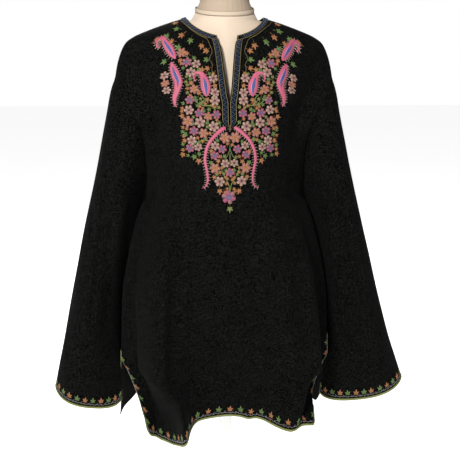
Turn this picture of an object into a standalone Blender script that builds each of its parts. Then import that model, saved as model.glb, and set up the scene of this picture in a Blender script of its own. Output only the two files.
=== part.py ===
"""Pullover tunic top with wide straight sleeves, side slits and a banded neck slit, on a limbless dress form.

Metres, +Z up, the wearer faces -Y, and the underside of the stand is at z = 0.
Every cloth piece is one sheet with a real thickness, shaped by the short tables below.
"""
import math

import bpy
import numpy as np

# Cloth
CLOTH = 0.0020
SEAM_GAP = 0.0003
HALF_COLUMNS = 20
NECK_COLUMN = 7
CHEST_ROW = 8
UNDERARM_ROW = 15
SLIT_ROW = 25
HEM_ROW = 30
SLEEVE_ROWS = 16
SLEEVE_FULLNESS = 1.1
CLOTH_NAMES = ("front_panel", "back_panel", "sleeve_right", "sleeve_left")
DENSE = 240
YOKE_STEPS = 61
YOKE_CENTRE_ROUNDNESS = 1.25
YOKE_SHOULDER_ROUNDNESS = 2.10
YOKE_ROUND_PLACE = 0.45
YOKE_EDGE_PLACE = 0.75
SLEEVE_BLEND = 0.30
SHARP_VALLEY = -0.2
FLAT_SEAM = 0.5

# Heights shared by front and back
CHEST_Z = 0.850
CHEST_EDGE_Z = 0.800
UNDERARM_Z = 0.670
SLIT_TOP_Z = 0.345
HEM_DROP = 0.125
EDGE_CALM = 0.16

# Neck hole
NECK_HALF_WIDTH = 0.066
NECK_FRONT_DEPTH = 0.0686
NECK_BACK_DEPTH = 0.058
NECK_FRONT_DROP = 0.036
NECK_BACK_DROP = 0.015
NECK_DROP_POWER = 1.4
SLIT_FORWARD = 0.0035
SLIT_HALF_WIDTH = 0.018
RIDGE_SLOPE = 21.0
NECK_SLOPE = 66.0

# Band round the neck and slit
BAND_WIDTH = 0.010
BAND_THICKNESS = 0.0012
BAND_LIFT = 0.0003
BAND_TIP_Z = 0.807
BAND_LOW_SHARE = 0.65

# Shoulder ridge: x, z
RIDGE = (
    (0.066, 1.0000),
    (0.100, 0.9900),
    (0.140, 0.9760),
    (0.168, 0.9640),
    (0.183, 0.9530),
    (0.194, 0.9315),
    (0.200, 0.9110),
    (0.203, 0.8950),
)

# Outer edge of the front panel, armhole then side seam then slit: z, x, y
FRONT_EDGE = (
    (0.895, 0.203, 0.000),
    (0.875, 0.201, -0.020),
    (0.855, 0.195, -0.034),
    (0.816, 0.165, -0.050),
    (0.760, 0.152, -0.030),
    (0.670, 0.150, 0.000),
    (0.650, 0.1614, 0.000),
    (0.612, 0.1757, 0.000),
    (0.560, 0.1873, 0.000),
    (0.500, 0.1983, 0.000),
    (0.466, 0.2025, 0.000),
    (0.400, 0.2055, 0.000),
    (0.345, 0.2078, 0.000),
    (0.300, 0.196, -0.021),
    (0.250, 0.175, -0.055),
    (0.200, 0.157, -0.080),
)

# Outer edge of the back panel: z, x, y
BACK_EDGE = (
    (0.895, 0.203, 0.000),
    (0.875, 0.201, 0.020),
    (0.855, 0.195, 0.032),
    (0.816, 0.165, 0.046),
    (0.760, 0.152, 0.030),
    (0.670, 0.150, 0.000),
    (0.650, 0.1614, 0.000),
    (0.612, 0.1757, 0.000),
    (0.560, 0.1873, 0.000),
    (0.500, 0.1983, 0.000),
    (0.466, 0.2025, 0.000),
    (0.400, 0.2055, 0.000),
    (0.345, 0.2078, 0.000),
    (0.300, 0.2085, 0.012),
    (0.255, 0.2090, 0.022),
    (0.232, 0.2115, 0.027),
    (0.205, 0.2140, 0.030),
)

# How far round its curve a section runs before it meets the outer edge: z, degrees
SECTION_END = (
    (0.300, 84.0),
    (0.345, 90.0),
    (0.530, 90.0),
    (0.610, 78.0),
    (0.670, 60.0),
    (0.720, 54.0),
    (0.800, 58.0),
)

# Centre line of the front panel: z, y, fullness of the section
FRONT_CENTRE = (
    (0.850, -0.112, 2.0),
    (0.800, -0.125, 2.0),
    (0.745, -0.131, 1.95),
    (0.650, -0.128, 2.1),
    (0.500, -0.122, 2.4),
    (0.400, -0.114, 2.6),
    (0.345, -0.106, 2.6),
    (0.250, -0.094, 2.6),
)

# Centre line of the back panel: z, y, fullness of the section
BACK_CENTRE = (
    (0.850, 0.106, 2.0),
    (0.800, 0.108, 2.0),
    (0.745, 0.107, 1.95),
    (0.650, 0.104, 2.1),
    (0.500, 0.113, 2.4),
    (0.400, 0.126, 2.5),
    (0.345, 0.130, 2.4),
    (0.225, 0.136, 2.2),
)

# Folds of the front panel: place at top and hem (-1 to 1 across), height it starts at,
# depth at the hem (out is +), widths towards -X and +X, growth
FRONT_FOLDS = (
    ("left pipe", -0.46, -0.46, 0.800, 0.066, 0.22, 0.11, 1.9),
    ("left side dip", -0.78, -0.80, 0.700, -0.012, 0.10, 0.12, 1.2),
    ("centre trough", -0.04, 0.00, 0.620, -0.006, 0.16, 0.22, 1.6),
    ("right pipe", 0.52, 0.62, 0.800, 0.046, 0.26, 0.10, 1.7),
    ("right inner crest", 0.26, 0.24, 0.560, 0.010, 0.10, 0.10, 1.3),
    ("right side dip", 0.86, 0.86, 0.720, -0.010, 0.08, 0.08, 1.1),
)

# Folds of the back panel, same columns
BACK_FOLDS = (
    ("left pipe", -0.52, -0.56, 0.760, 0.040, 0.20, 0.16, 1.8),
    ("left trough", -0.24, -0.27, 0.640, -0.014, 0.10, 0.12, 1.5),
    ("centre crest", 0.02, 0.00, 0.700, 0.022, 0.16, 0.15, 1.7),
    ("right trough", 0.30, 0.28, 0.640, -0.015, 0.11, 0.10, 1.5),
    ("right pipe", 0.55, 0.58, 0.760, 0.036, 0.17, 0.21, 1.8),
)

# Trough where the panel sinks beside the sleeve head: z, x, depth
ARM_TROUGH = (
    (0.955, 0.176, 0.000),
    (0.925, 0.172, 0.008),
    (0.880, 0.160, 0.020),
    (0.850, 0.154, 0.022),
    (0.810, 0.146, 0.012),
    (0.760, 0.140, 0.000),
)
ARM_TROUGH_WIDTH = 0.017

# Hem height across the panels: place, z
FRONT_HEM = (
    (-1.00, 0.222),
    (-0.88, 0.218),
    (-0.72, 0.206),
    (-0.58, 0.201),
    (-0.44, 0.203),
    (-0.34, 0.212),
    (-0.24, 0.238),
    (0.00, 0.252),
    (0.30, 0.246),
    (0.58, 0.241),
    (0.85, 0.226),
    (1.00, 0.218),
)
BACK_HEM = (
    (-1.00, 0.207),
    (-0.50, 0.222),
    (0.00, 0.232),
    (0.50, 0.224),
    (1.00, 0.212),
)

# Sleeve stations: share of length, x and z of the outer line, x and z of the under line,
# y in front, y behind, drop in front, y of the under line
SLEEVE = (
    (0.00, 0.203, 0.895, 0.150, 0.670, -0.050, 0.046, 0.000, 0.000),
    (0.06, 0.214, 0.858, 0.162, 0.650, -0.060, 0.055, 0.000, 0.008),
    (0.15, 0.225, 0.803, 0.175, 0.614, -0.066, 0.060, 0.000, 0.018),
    (0.27, 0.240, 0.726, 0.187, 0.560, -0.070, 0.062, 0.000, 0.025),
    (0.50, 0.274, 0.580, 0.204, 0.466, -0.065, 0.057, 0.004, 0.028),
    (0.75, 0.311, 0.423, 0.210, 0.361, -0.056, 0.050, 0.012, 0.022),
    (1.00, 0.349, 0.288, 0.213, 0.254, -0.045, 0.040, 0.016, 0.006),
)

# Extra reach of each sleeve's outer line: its terms in the share of length and in that share squared
SLEEVE_LEAN = {-1: (0.0188, -0.0308), 1: (-0.0028, 0.0158)}

# Folds of a sleeve: angle round it in degrees at top and cuff (0 outer, 90 front, 180 under, 270 back),
# share where it starts and is deepest, depth at that share and at the cuff (out is +), width in degrees
SLEEVE_FOLDS = (
    ("front crease", 70.0, 150.0, 0.10, 0.45, -0.013, 0.000, 17.0),
    ("inner pipe", 108.0, 172.0, 0.10, 0.50, 0.006, 0.002, 26.0),
    ("outer pipe", 30.0, 62.0, 0.20, 0.60, 0.004, 0.005, 28.0),
    ("cuff dip", 96.0, 100.0, 0.55, 0.90, -0.004, -0.007, 24.0),
    ("back crease", 285.0, 225.0, 0.12, 0.50, -0.012, -0.002, 20.0),
    ("back pipe", 325.0, 280.0, 0.20, 0.65, 0.006, 0.005, 30.0),
)

# Dress form: z, half width, front depth, back depth, fullness (2 is an ellipse)
FORM_RINGS = (
    (0.330, 0.148, 0.086, 0.096, 2.0),
    (0.336, 0.158, 0.093, 0.105, 2.0),
    (0.365, 0.166, 0.097, 0.111, 2.0),
    (0.405, 0.168, 0.100, 0.113, 2.0),
    (0.450, 0.164, 0.099, 0.107, 2.0),
    (0.500, 0.148, 0.094, 0.096, 2.0),
    (0.545, 0.129, 0.088, 0.085, 2.0),
    (0.590, 0.118, 0.085, 0.080, 2.0),
    (0.640, 0.118, 0.092, 0.079, 2.0),
    (0.690, 0.126, 0.108, 0.083, 2.0),
    (0.730, 0.134, 0.118, 0.088, 2.0),
    (0.770, 0.139, 0.115, 0.092, 2.0),
    (0.810, 0.146, 0.105, 0.094, 2.0),
    (0.850, 0.158, 0.096, 0.092, 2.0),
    (0.890, 0.170, 0.085, 0.084, 1.9),
    (0.920, 0.177, 0.074, 0.074, 1.8),
    (0.938, 0.179, 0.066, 0.066, 1.7),
    (0.948, 0.177, 0.062, 0.061, 1.6),
    (0.956, 0.166, 0.059, 0.057, 1.55),
    (0.9675, 0.136, 0.056, 0.053, 1.5),
    (0.9838, 0.091, 0.050, 0.050, 1.45),
    (0.9950, 0.061, 0.048, 0.0485, 1.7),
)
FORM_SIDES = 32
NECK_SEAM_Z = 1.0090
NECK_SEAM_SLOPE = 0.21
NECK_SEAM_HALF_WIDTH = 0.054
NECK_SEAM_HALF_DEPTH = 0.0475

# Neck block: z, radius, slope of the ring
NECK_RINGS = (
    (1.026, 0.0460, 0.06),
    (1.045, 0.0445, 0.0),
    (1.066, 0.0445, 0.0),
    (1.0705, 0.0430, 0.0),
    (1.072, 0.0400, 0.0),
)

# Base: z, radius
BASE_RINGS = (
    (0.000, 0.149),
    (0.002, 0.150),
    (0.007, 0.150),
    (0.009, 0.148),
    (0.014, 0.034),
    (0.017, 0.029),
    (0.030, 0.027),
)
BASE_SIDES = 48
POLE_RADIUS = 0.0135
POLE_SIDES = 24
PART_GAP = 0.0003


def smooth_curve(table, key, column):
    """Values of a table column at the keys, on a smooth curve through the rows."""
    rows = sorted(table, key=lambda row: row[0])
    a = np.array([row[0] for row in rows], dtype=float)
    b = np.array([row[column] for row in rows], dtype=float)
    k = np.clip(np.asarray(key, dtype=float), a[0], a[-1])
    steps = np.diff(b) / np.diff(a)
    slope = np.zeros_like(b)
    slope[0] = steps[0]
    slope[-1] = steps[-1]
    same = steps[:-1] * steps[1:] > 0
    both = np.where(same, steps[:-1] + steps[1:], 1.0)
    slope[1:-1] = np.where(same, 2.0 * steps[:-1] * steps[1:] / both, 0.0)
    i = np.clip(np.searchsorted(a, k, side="right") - 1, 0, len(a) - 2)
    h = a[i + 1] - a[i]
    f = (k - a[i]) / h
    near = (1 + 2 * f) * (1 - f) ** 2 * b[i] + f * (1 - f) ** 2 * h * slope[i]
    far = f * f * (3 - 2 * f) * b[i + 1] + f * f * (f - 1) * h * slope[i + 1]
    return near + far


def even_steps(points, count, first=None):
    """The polyline's points again, count steps apart; the first step may have its own length."""
    lengths = np.linalg.norm(np.diff(points, axis=0), axis=1)
    run = np.concatenate([[0.0], np.cumsum(lengths)])
    if first is None:
        wanted = np.linspace(0.0, run[-1], count + 1)
    else:
        wanted = np.concatenate([[0.0], np.linspace(first, run[-1], count)])
    return np.stack([np.interp(wanted, run, points[:, i]) for i in range(3)], axis=1)


def bump(offset, left, right):
    """A soft hill of height 1 with its own width on each side."""
    width = np.where(offset < 0, left, right)
    return np.exp(-0.5 * (offset / (0.5 * width)) ** 2)


def fold_depth(folds, place, z):
    """How far the folds move the cloth out at a place across the panel."""
    total = np.zeros_like(place)
    for _, top, hem, start, depth, left, right, growth in folds:
        if z >= start:
            continue
        share = (start - z) / (start - SLIT_TOP_Z + HEM_DROP)
        centre = top + (hem - top) * min(share, 1.0)
        total += depth * share ** growth * bump(place - centre, left, right)
    return total


def section_row(panel, side, z_centre, z_edge, hem_share):
    """One row of half a panel, from the centre line to the outer edge."""
    sign = panel["sign"]
    across = np.linspace(0.0, 1.0, DENSE)
    place = side * across
    hem = smooth_curve(panel["hem"], place, 1)
    z = z_centre + (z_edge - z_centre) * across ** 2
    z = z + (hem - SLIT_TOP_Z) * hem_share
    y_centre = smooth_curve(panel["centre"], z[0], 1)
    fullness = smooth_curve(panel["centre"], z[0], 2)
    x_edge = smooth_curve(panel["edge"], z[-1], 1)
    y_edge = smooth_curve(panel["edge"], z[-1], 2)
    end = np.radians(smooth_curve(SECTION_END, z_edge, 1))
    angle = across * end
    wide = np.sin(angle) ** (2.0 / fullness)
    deep = np.maximum(np.cos(angle), 0.0) ** (2.0 / fullness)
    x = x_edge * wide / wide[-1]
    y = y_edge + (y_centre - y_edge) * (deep - deep[-1]) / (1.0 - deep[-1])
    base = even_steps(np.stack([x, y, z], axis=1), DENSE - 1)
    tangent = np.gradient(base[:, :2], axis=0)
    outward = np.stack([tangent[:, 1], -tangent[:, 0]], axis=1) * -sign
    outward /= np.linalg.norm(outward, axis=1)[:, None]
    outward[0] = (0.0, sign)
    depth = fold_depth(panel["folds"], place, z_edge - HEM_DROP * hem_share)
    depth = depth - arm_trough(base[:, 0], base[:, 2])
    base[:, :2] += outward * (depth * edge_fade(across))[:, None]
    base[0, 0] = 0.0
    row = even_steps(base, HALF_COLUMNS, BAND_WIDTH if panel["slit"] else None)
    row[:, 0] *= side
    return row


def edge_fade(across):
    """1 over most of a panel, falling softly to 0 at its outer edge."""
    share = np.clip((1.0 - across) / EDGE_CALM, 0.0, 1.0)
    return share * share * (3 - 2 * share)


def arm_trough(x, z):
    """Depth of the sunk line beside the sleeve head."""
    centre = smooth_curve(ARM_TROUGH, z, 1)
    depth = smooth_curve(ARM_TROUGH, z, 2)
    return depth * np.exp(-0.5 * ((x - centre) / ARM_TROUGH_WIDTH) ** 2)


def top_rows(panel, side):
    """Neck edge of half a panel, and the row below it, which runs on along the shoulder ridge."""
    sign = panel["sign"]
    start = math.asin(SLIT_HALF_WIDTH / NECK_HALF_WIDTH) if panel["slit"] else 0.0
    angle = np.linspace(start, math.pi / 2, DENSE)
    front = np.maximum(np.cos(angle), 0.0)
    x = NECK_HALF_WIDTH * np.sin(angle)
    y = sign * panel["neck_depth"] * front
    neck = np.stack([x, y, RIDGE[0][1] - panel["neck_drop"] * front ** NECK_DROP_POWER], axis=1)
    neck[-1, 1] = 0.0
    neck = even_steps(neck, NECK_COLUMN, BAND_WIDTH if panel["slit"] else None)
    front = np.abs(neck[:, 1]) / panel["neck_depth"]
    slope = np.radians(RIDGE_SLOPE + (NECK_SLOPE - RIDGE_SLOPE) * front ** 2)
    away = neck[:, :2] / np.linalg.norm(neck[:, :2], axis=1)[:, None]
    line = neck.copy()
    line[:, :2] += away * (BAND_WIDTH * np.cos(slope))[:, None]
    line[:, 2] -= BAND_WIDTH * np.sin(slope)
    if panel["slit"]:
        share = BAND_WIDTH / (neck[0, 2] - CHEST_Z)
        line[0] = neck[0] * (1.0 - share, 1.0, 1.0) - (0.0, SLIT_FORWARD, BAND_WIDTH)
    run = np.linspace(0.0, 1.0, DENSE)
    table = [(i / (len(RIDGE) - 1), x, z) for i, (x, z) in enumerate(RIDGE)]
    ridge = np.stack(
        [smooth_curve(table, run, 1), np.zeros(DENSE), smooth_curve(table, run, 2)], axis=1
    )
    ridge = even_steps(ridge, HALF_COLUMNS - NECK_COLUMN + 1, BAND_WIDTH)
    line = np.concatenate([line[:-1], ridge[1:]])
    neck[:, 0] *= side
    line[:, 0] *= side
    return neck, line


def half_panel(panel, side):
    """Grid of points of half a panel, rows from the top edge to the hem."""
    grid = np.zeros((HEM_ROW + 1, HALF_COLUMNS + 1, 3))
    across = np.linspace(0.0, 1.0, HALF_COLUMNS + 1)
    for j in range(CHEST_ROW, HEM_ROW + 1):
        z_centre, z_edge, hem_share = row_heights(j)
        grid[j] = section_row(panel, side, z_centre, z_edge, hem_share)
    neck, line = top_rows(panel, side)
    grid[1:CHEST_ROW + 1] = yoke_rows(panel, side, line, grid[CHEST_ROW])
    grid[0] = grid[1]
    grid[0, :NECK_COLUMN + 1] = neck
    return grid


def yoke_rows(panel, side, top, chest):
    """Rows from the shoulder ridge down to the chest row."""
    across = np.linspace(0.0, 1.0, HALF_COLUMNS + 1)
    near = np.clip((across - YOKE_EDGE_PLACE) / (1.0 - YOKE_EDGE_PLACE), 0.0, 1.0)
    rounder = np.clip(across / YOKE_ROUND_PLACE, 0.0, 1.0)
    roundness = YOKE_CENTRE_ROUNDNESS + (YOKE_SHOULDER_ROUNDNESS - YOKE_CENTRE_ROUNDNESS) * rounder
    rows = []
    for mix in np.linspace(0.0, 1.0, YOKE_STEPS):
        down = math.pi / 2 * mix
        out = math.sin(down) ** (2.0 / roundness)
        fall = max(math.cos(down), 0.0) ** (2.0 / roundness)
        row = top + (chest - top) * np.stack([np.full_like(out, mix), out, 1.0 - fall], axis=1)
        edge = [smooth_curve(panel["edge"], row[-1, 2], c) for c in (1, 2)]
        row[:, 0] += (side * edge[0] - row[-1, 0]) * near
        row[:, 1] += (edge[1] - row[-1, 1]) * near
        sunk = arm_trough(np.abs(row[:, 0]), row[:, 2]) * edge_fade(across)
        row[:, 1] -= panel["sign"] * sunk * mix * (1.0 - mix)
        rows.append(row)
    rows = np.array(rows)
    columns = [even_steps(rows[:, i], CHEST_ROW - 1) for i in range(HALF_COLUMNS + 1)]
    return np.stack(columns, axis=1)


def row_heights(j):
    """Height of row j at the centre and at the outer edge, and its share of the way to the hem."""
    if j <= UNDERARM_ROW:
        share = (j - CHEST_ROW) / (UNDERARM_ROW - CHEST_ROW)
        centre = CHEST_Z + (UNDERARM_Z - CHEST_Z) * share
        return centre, CHEST_EDGE_Z + (UNDERARM_Z - CHEST_EDGE_Z) * share, 0.0
    if j <= SLIT_ROW:
        share = (j - UNDERARM_ROW) / (SLIT_ROW - UNDERARM_ROW)
        z = UNDERARM_Z + (SLIT_TOP_Z - UNDERARM_Z) * share
        return z, z, 0.0
    return SLIT_TOP_Z, SLIT_TOP_Z, (j - SLIT_ROW) / (HEM_ROW - SLIT_ROW)


FRONT = {
    "sign": -1.0,
    "slit": True,
    "neck_depth": NECK_FRONT_DEPTH,
    "neck_drop": NECK_FRONT_DROP,
    "edge": FRONT_EDGE,
    "centre": FRONT_CENTRE,
    "folds": FRONT_FOLDS,
    "hem": FRONT_HEM,
}
BACK = {
    "sign": 1.0,
    "slit": False,
    "neck_depth": NECK_BACK_DEPTH,
    "neck_drop": NECK_BACK_DROP,
    "edge": BACK_EDGE,
    "centre": BACK_CENTRE,
    "folds": BACK_FOLDS,
    "hem": BACK_HEM,
}


def panel_faces(flip):
    """Four-sided faces of half a panel; its first row of faces ends at the shoulder."""
    faces = []
    for j in range(HEM_ROW):
        for i in range(HALF_COLUMNS if j else NECK_COLUMN):
            a = j * (HALF_COLUMNS + 1) + i
            face = (a, a + HALF_COLUMNS + 1, a + HALF_COLUMNS + 2, a + 1)
            faces.append(face[::-1] if flip else face)
    return faces


def panel_sheet(panel):
    """Points and outward faces of a whole panel, left half first, joined down the centre below the slit."""
    left = half_panel(panel, -1)
    right = half_panel(panel, 1)
    count = left.shape[0] * left.shape[1]
    faces = panel_faces(panel["sign"] < 0)
    first = CHEST_ROW if panel["slit"] else 0
    middle = [j * (HALF_COLUMNS + 1) for j in range(first, HEM_ROW + 1)]
    joined = {count + v: v for v in middle}
    for face in panel_faces(panel["sign"] > 0):
        faces.append(tuple(joined.get(v + count, v + count) for v in face))
    points = np.concatenate([left.reshape(-1, 3), right.reshape(-1, 3)])
    return points, faces


def sleeve_fold_depth(degrees, share):
    """How far the folds move a sleeve's cloth out, at angles round it and a share of its length."""
    depth = np.zeros_like(degrees)
    for _, top, cuff, start, peak, deep, end, width in SLEEVE_FOLDS:
        if share <= start:
            continue
        rise = min((share - start) / (peak - start), 1.0)
        late = max((share - peak) / (1.0 - peak), 0.0)
        amount = deep * rise * rise * (3 - 2 * rise) + (end - deep) * late
        gap = (degrees - top - (cuff - top) * share + 180.0) % 360.0 - 180.0
        depth += amount * np.exp(-0.5 * (gap / width) ** 2)
    return depth


def sleeve_ring(side, share, angle):
    """One ring of a sleeve, a tilted oval with its folds."""
    row = [smooth_curve(SLEEVE, share, column) for column in range(1, 9)]
    x_out, z_out, x_in, z_in, y_front, y_back, drop, y_under = row
    lean = SLEEVE_LEAN[side]
    x_out = x_out + lean[0] * share + lean[1] * share ** 2
    turn = np.cos(angle)
    spread = np.sin(angle)
    x = (x_out + x_in) / 2 + (x_out - x_in) / 2 * turn
    z = (z_out + z_in) / 2 + (z_out - z_in) / 2 * turn - drop * np.clip(spread, 0.0, 1.0)
    y = np.where(spread > 0, y_front, y_back) * np.abs(spread) ** SLEEVE_FULLNESS
    y = y + y_under * (1.0 - turn) / 2
    along = np.array([x_out - x_in, 0.0, z_out - z_in])
    along /= np.linalg.norm(along)
    out = turn[:, None] * along + spread[:, None] * np.array([0.0, -1.0, 0.0])
    ring = np.stack([x, y, z], axis=1) + out * sleeve_fold_depth(np.degrees(angle), share)[:, None]
    ring[:, 0] *= side
    return ring


def sleeve_sheet(side, loop):
    """Points and faces of a sleeve; its first ring lies on the armhole edge of the panels."""
    count = len(loop)
    angle = np.linspace(0.0, 2 * math.pi, count, endpoint=False)
    share = np.linspace(0.0, 1.0, SLEEVE_ROWS + 1)
    rings = np.array([sleeve_ring(side, v, angle) for v in share])
    fade = np.clip(1.0 - share / SLEEVE_BLEND, 0.0, 1.0)
    fade = fade * fade * (3 - 2 * fade)
    rings = rings + (loop - rings[0]) * fade[:, None, None]
    faces = []
    for k in range(SLEEVE_ROWS):
        for m in range(count):
            n = (m + 1) % count
            face = (k * count + m, (k + 1) * count + m, (k + 1) * count + n, k * count + n)
            faces.append(face[::-1] if side > 0 else face)
    return rings.reshape(-1, 3), faces


def shared_normals(sheets):
    """Outward direction at each point of each sheet, averaged where sheets meet."""
    points = np.concatenate([sheet[0] for sheet in sheets])
    _, same = np.unique(np.round(points, 6), axis=0, return_inverse=True)
    same = same.ravel()
    total = np.zeros((same.max() + 1, 3))
    start = 0
    for own, faces in sheets:
        for face in faces:
            p = own[list(face)]
            normal = np.cross(p[2] - p[0], p[3] - p[1])
            for v in face:
                total[same[start + v]] += normal
        start += len(own)
    total /= np.maximum(np.linalg.norm(total, axis=1), 1e-12)[:, None]
    out = []
    start = 0
    for own, _ in sheets:
        out.append(total[same[start:start + len(own)]])
        start += len(own)
    return out


def split_faces(points, faces):
    """Three-sided faces, each four-sided one cut along its shorter diagonal."""
    out = []
    for face in faces:
        if len(face) == 3:
            out.append(tuple(face))
            continue
        a, b, c, d = face
        if np.linalg.norm(points[a] - points[c]) <= np.linalg.norm(points[b] - points[d]):
            out += [(a, b, c), (a, c, d)]
        else:
            out += [(a, b, d), (b, c, d)]
    return out


def thick_sheet(points, faces, normals, thickness):
    """Closed solid between a sheet and its copy moved inwards."""
    used = sorted({v for face in faces for v in face})
    index = {v: i for i, v in enumerate(used)}
    outer = points[used]
    inner = outer - normals[used] * thickness
    faces = [tuple(index[v] for v in face) for face in faces]
    count = len(used)
    edges = {}
    for face in faces:
        for a, b in zip(face, face[1:] + face[:1]):
            edges[(a, b)] = True
    solid = list(faces) + [tuple(v + count for v in face[::-1]) for face in faces]
    for a, b in edges:
        if (b, a) not in edges:
            solid.append((b, a, a + count, b + count))
    return np.concatenate([outer, inner]), solid


def material(name, colour, roughness):
    """A plain surface of one colour."""
    made = bpy.data.materials.new(name)
    made.use_nodes = True
    shader = made.node_tree.nodes["Principled BSDF"]
    shader.inputs["Base Color"].default_value = (*colour, 1.0)
    shader.inputs["Roughness"].default_value = roughness
    return made


def add_object(name, points, faces, surface):
    """One mesh object in the tunic collection."""
    mesh = bpy.data.meshes.new(name)
    mesh.from_pydata([tuple(float(c) for c in p) for p in points], [], faces)
    mesh.validate()
    mesh.update()
    made = bpy.data.objects.new(name, mesh)
    bpy.data.collections["pullover_tunic_top"].objects.link(made)
    mesh.materials.append(surface)
    for polygon in mesh.polygons:
        polygon.use_smooth = True


def ring_points(z, half_width, front, back, fullness, sides, slope=0.0):
    """Closed ring with its own depth in front and behind."""
    angle = np.linspace(0.0, 2 * math.pi, sides, endpoint=False)
    x = half_width * np.sign(np.cos(angle)) * np.abs(np.cos(angle)) ** (2.0 / fullness)
    y = np.sign(np.sin(angle)) * np.abs(np.sin(angle)) ** (2.0 / fullness)
    y *= np.where(np.sin(angle) > 0, back, front)
    return np.stack([x, y, z + slope * y], axis=1)


def round_ring(z, radius, sides, slope=0.0):
    """Closed round ring."""
    return ring_points(z, radius, radius, radius, 2.0, sides, slope)


def loft(rings):
    """Closed solid through rings of equal count, from the lowest to the highest."""
    count = len(rings[0])
    points = np.concatenate(rings)
    faces = []
    for k in range(len(rings) - 1):
        for m in range(count):
            n = (m + 1) % count
            faces.append((k * count + m, k * count + n, (k + 1) * count + n, (k + 1) * count + m))
    low = len(points)
    high = low + 1
    points = np.concatenate([points, [rings[0].mean(axis=0)], [rings[-1].mean(axis=0)]])
    last = (len(rings) - 1) * count
    for m in range(count):
        n = (m + 1) % count
        faces.append((low, n, m))
        faces.append((high, last + m, last + n))
    return points, faces


def halves(values):
    """A panel's points or normals as its two grids."""
    shape = (HEM_ROW + 1, HALF_COLUMNS + 1, 3)
    count = shape[0] * shape[1]
    return values[:count].reshape(shape), values[count:].reshape(shape)


def seat_panel(panel, points, normals):
    """Move ridge and side edges half a gap off the middle, with the edge walls square to it."""
    neck_end = (slice(0, 1), slice(NECK_COLUMN, NECK_COLUMN + 1))
    ridge = (slice(1, 2), slice(NECK_COLUMN, None))
    side_seam = (slice(UNDERARM_ROW, SLIT_ROW + 1), slice(HALF_COLUMNS, None))
    for grid, normal in zip(halves(points), halves(normals)):
        for part in (neck_end, ridge, side_seam):
            grid[part][..., 1] = panel["sign"] * SEAM_GAP / 2
            normal[part][..., 1] = 0.0
            normal[part] /= np.linalg.norm(normal[part], axis=-1)[..., None]
        if not panel["slit"]:
            normal[:, 0, 0] = 0.0


def meet_at_armhole(loop_normals, points, normals):
    """Match the edge walls of panel and sleeve where they lie flat, and part the sleeve from the panel."""
    count = len(loop_normals)
    own = normals[:count].copy()
    match = np.sum(loop_normals * own, axis=1)
    alike = np.clip((match - SHARP_VALLEY) / (FLAT_SEAM - SHARP_VALLEY), 0.0, 1.0)[:, None]
    middle = loop_normals + own
    body = loop_normals + own * alike
    normals[:count] = own + loop_normals * alike
    body /= np.linalg.norm(body, axis=1)[:, None]
    normals[:count] /= np.linalg.norm(normals[:count], axis=1)[:, None]
    ring = points[:count].copy()
    along = np.roll(ring, -1, axis=0) - np.roll(ring, 1, axis=0)
    across = np.cross(along, middle)
    across /= np.linalg.norm(across, axis=1)[:, None]
    across[np.sum(across * (points[count:2 * count] - ring), axis=1) < 0] *= -1
    points[:count] = ring + across * SEAM_GAP
    return body


def armhole_loop(front, back):
    """The armhole edge of half a front and half a back, from the shoulder round to the shoulder."""
    edge = slice(1, UNDERARM_ROW + 1)
    return np.concatenate([front[edge, -1], back[edge, -1][-2:0:-1]])


def set_armhole(front, back, loop):
    """Write values round the armhole back to the edges of the two panels."""
    rows = UNDERARM_ROW
    front[1:rows + 1, -1] = loop[:rows]
    back[rows:1:-1, -1] = loop[rows - 1:]
    back[1, -1] = loop[0]


def build_cloth():
    """Four cut pieces of cloth, then the band on the neck and slit."""
    wool = material("black_wool", (0.012, 0.012, 0.013), 0.85)
    body = [panel_sheet(FRONT), panel_sheet(BACK)]
    body_normals = shared_normals(body)
    sleeves = []
    for half, side in enumerate((-1, 1)):
        grids = [halves(sheet[0])[half] for sheet in body]
        grid_normals = [halves(normal)[half] for normal in body_normals]
        sleeve = sleeve_sheet(side, armhole_loop(*grids))
        normals = shared_normals([sleeve])[0]
        loop = meet_at_armhole(armhole_loop(*grid_normals), sleeve[0], normals)
        set_armhole(*grid_normals, loop)
        sleeves.append((sleeve, normals))
    for panel, sheet, normals in zip((FRONT, BACK), body, body_normals):
        seat_panel(panel, sheet[0], normals)
    build_band([sheet[0] for sheet in body], body_normals)
    pieces = list(zip(body, body_normals)) + sleeves
    for name, ((points, faces), normals) in zip(CLOTH_NAMES, pieces):
        faces = split_faces(points, faces)
        add_object(name, *thick_sheet(points, faces, normals, CLOTH), wool)


def band_half(front, front_normal, back, back_normal):
    """Inner and outer points of half the band with their normals, from the tip up to the back neck."""
    tip_row = CHEST_ROW + 1
    low = front[tip_row, 0]
    below = front[tip_row + 1, 0]
    tip = low + (below - low) * (low[2] - BAND_TIP_Z) / (low[2] - below[2])
    low_normal = front_normal[tip_row, 0]
    low_outer = low + (front[tip_row, 1] - low) * BAND_LOW_SHARE
    stations = [(tip, low_normal, tip, low_normal), (low, low_normal, low_outer, front_normal[tip_row, 1])]
    for j in range(CHEST_ROW, 0, -1):
        stations.append((front[j, 0], front_normal[j, 0], front[j, 1], front_normal[j, 1]))
    stations.append((front[0, 0], front_normal[0, 0], front[1, 1], front_normal[1, 1]))
    for i in range(1, NECK_COLUMN + 1):
        stations.append((front[0, i], front_normal[0, i], front[1, i], front_normal[1, i]))
    for i in range(NECK_COLUMN - 1, -1, -1):
        stations.append((back[0, i], back_normal[0, i], back[1, i], back_normal[1, i]))
    return stations


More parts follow.
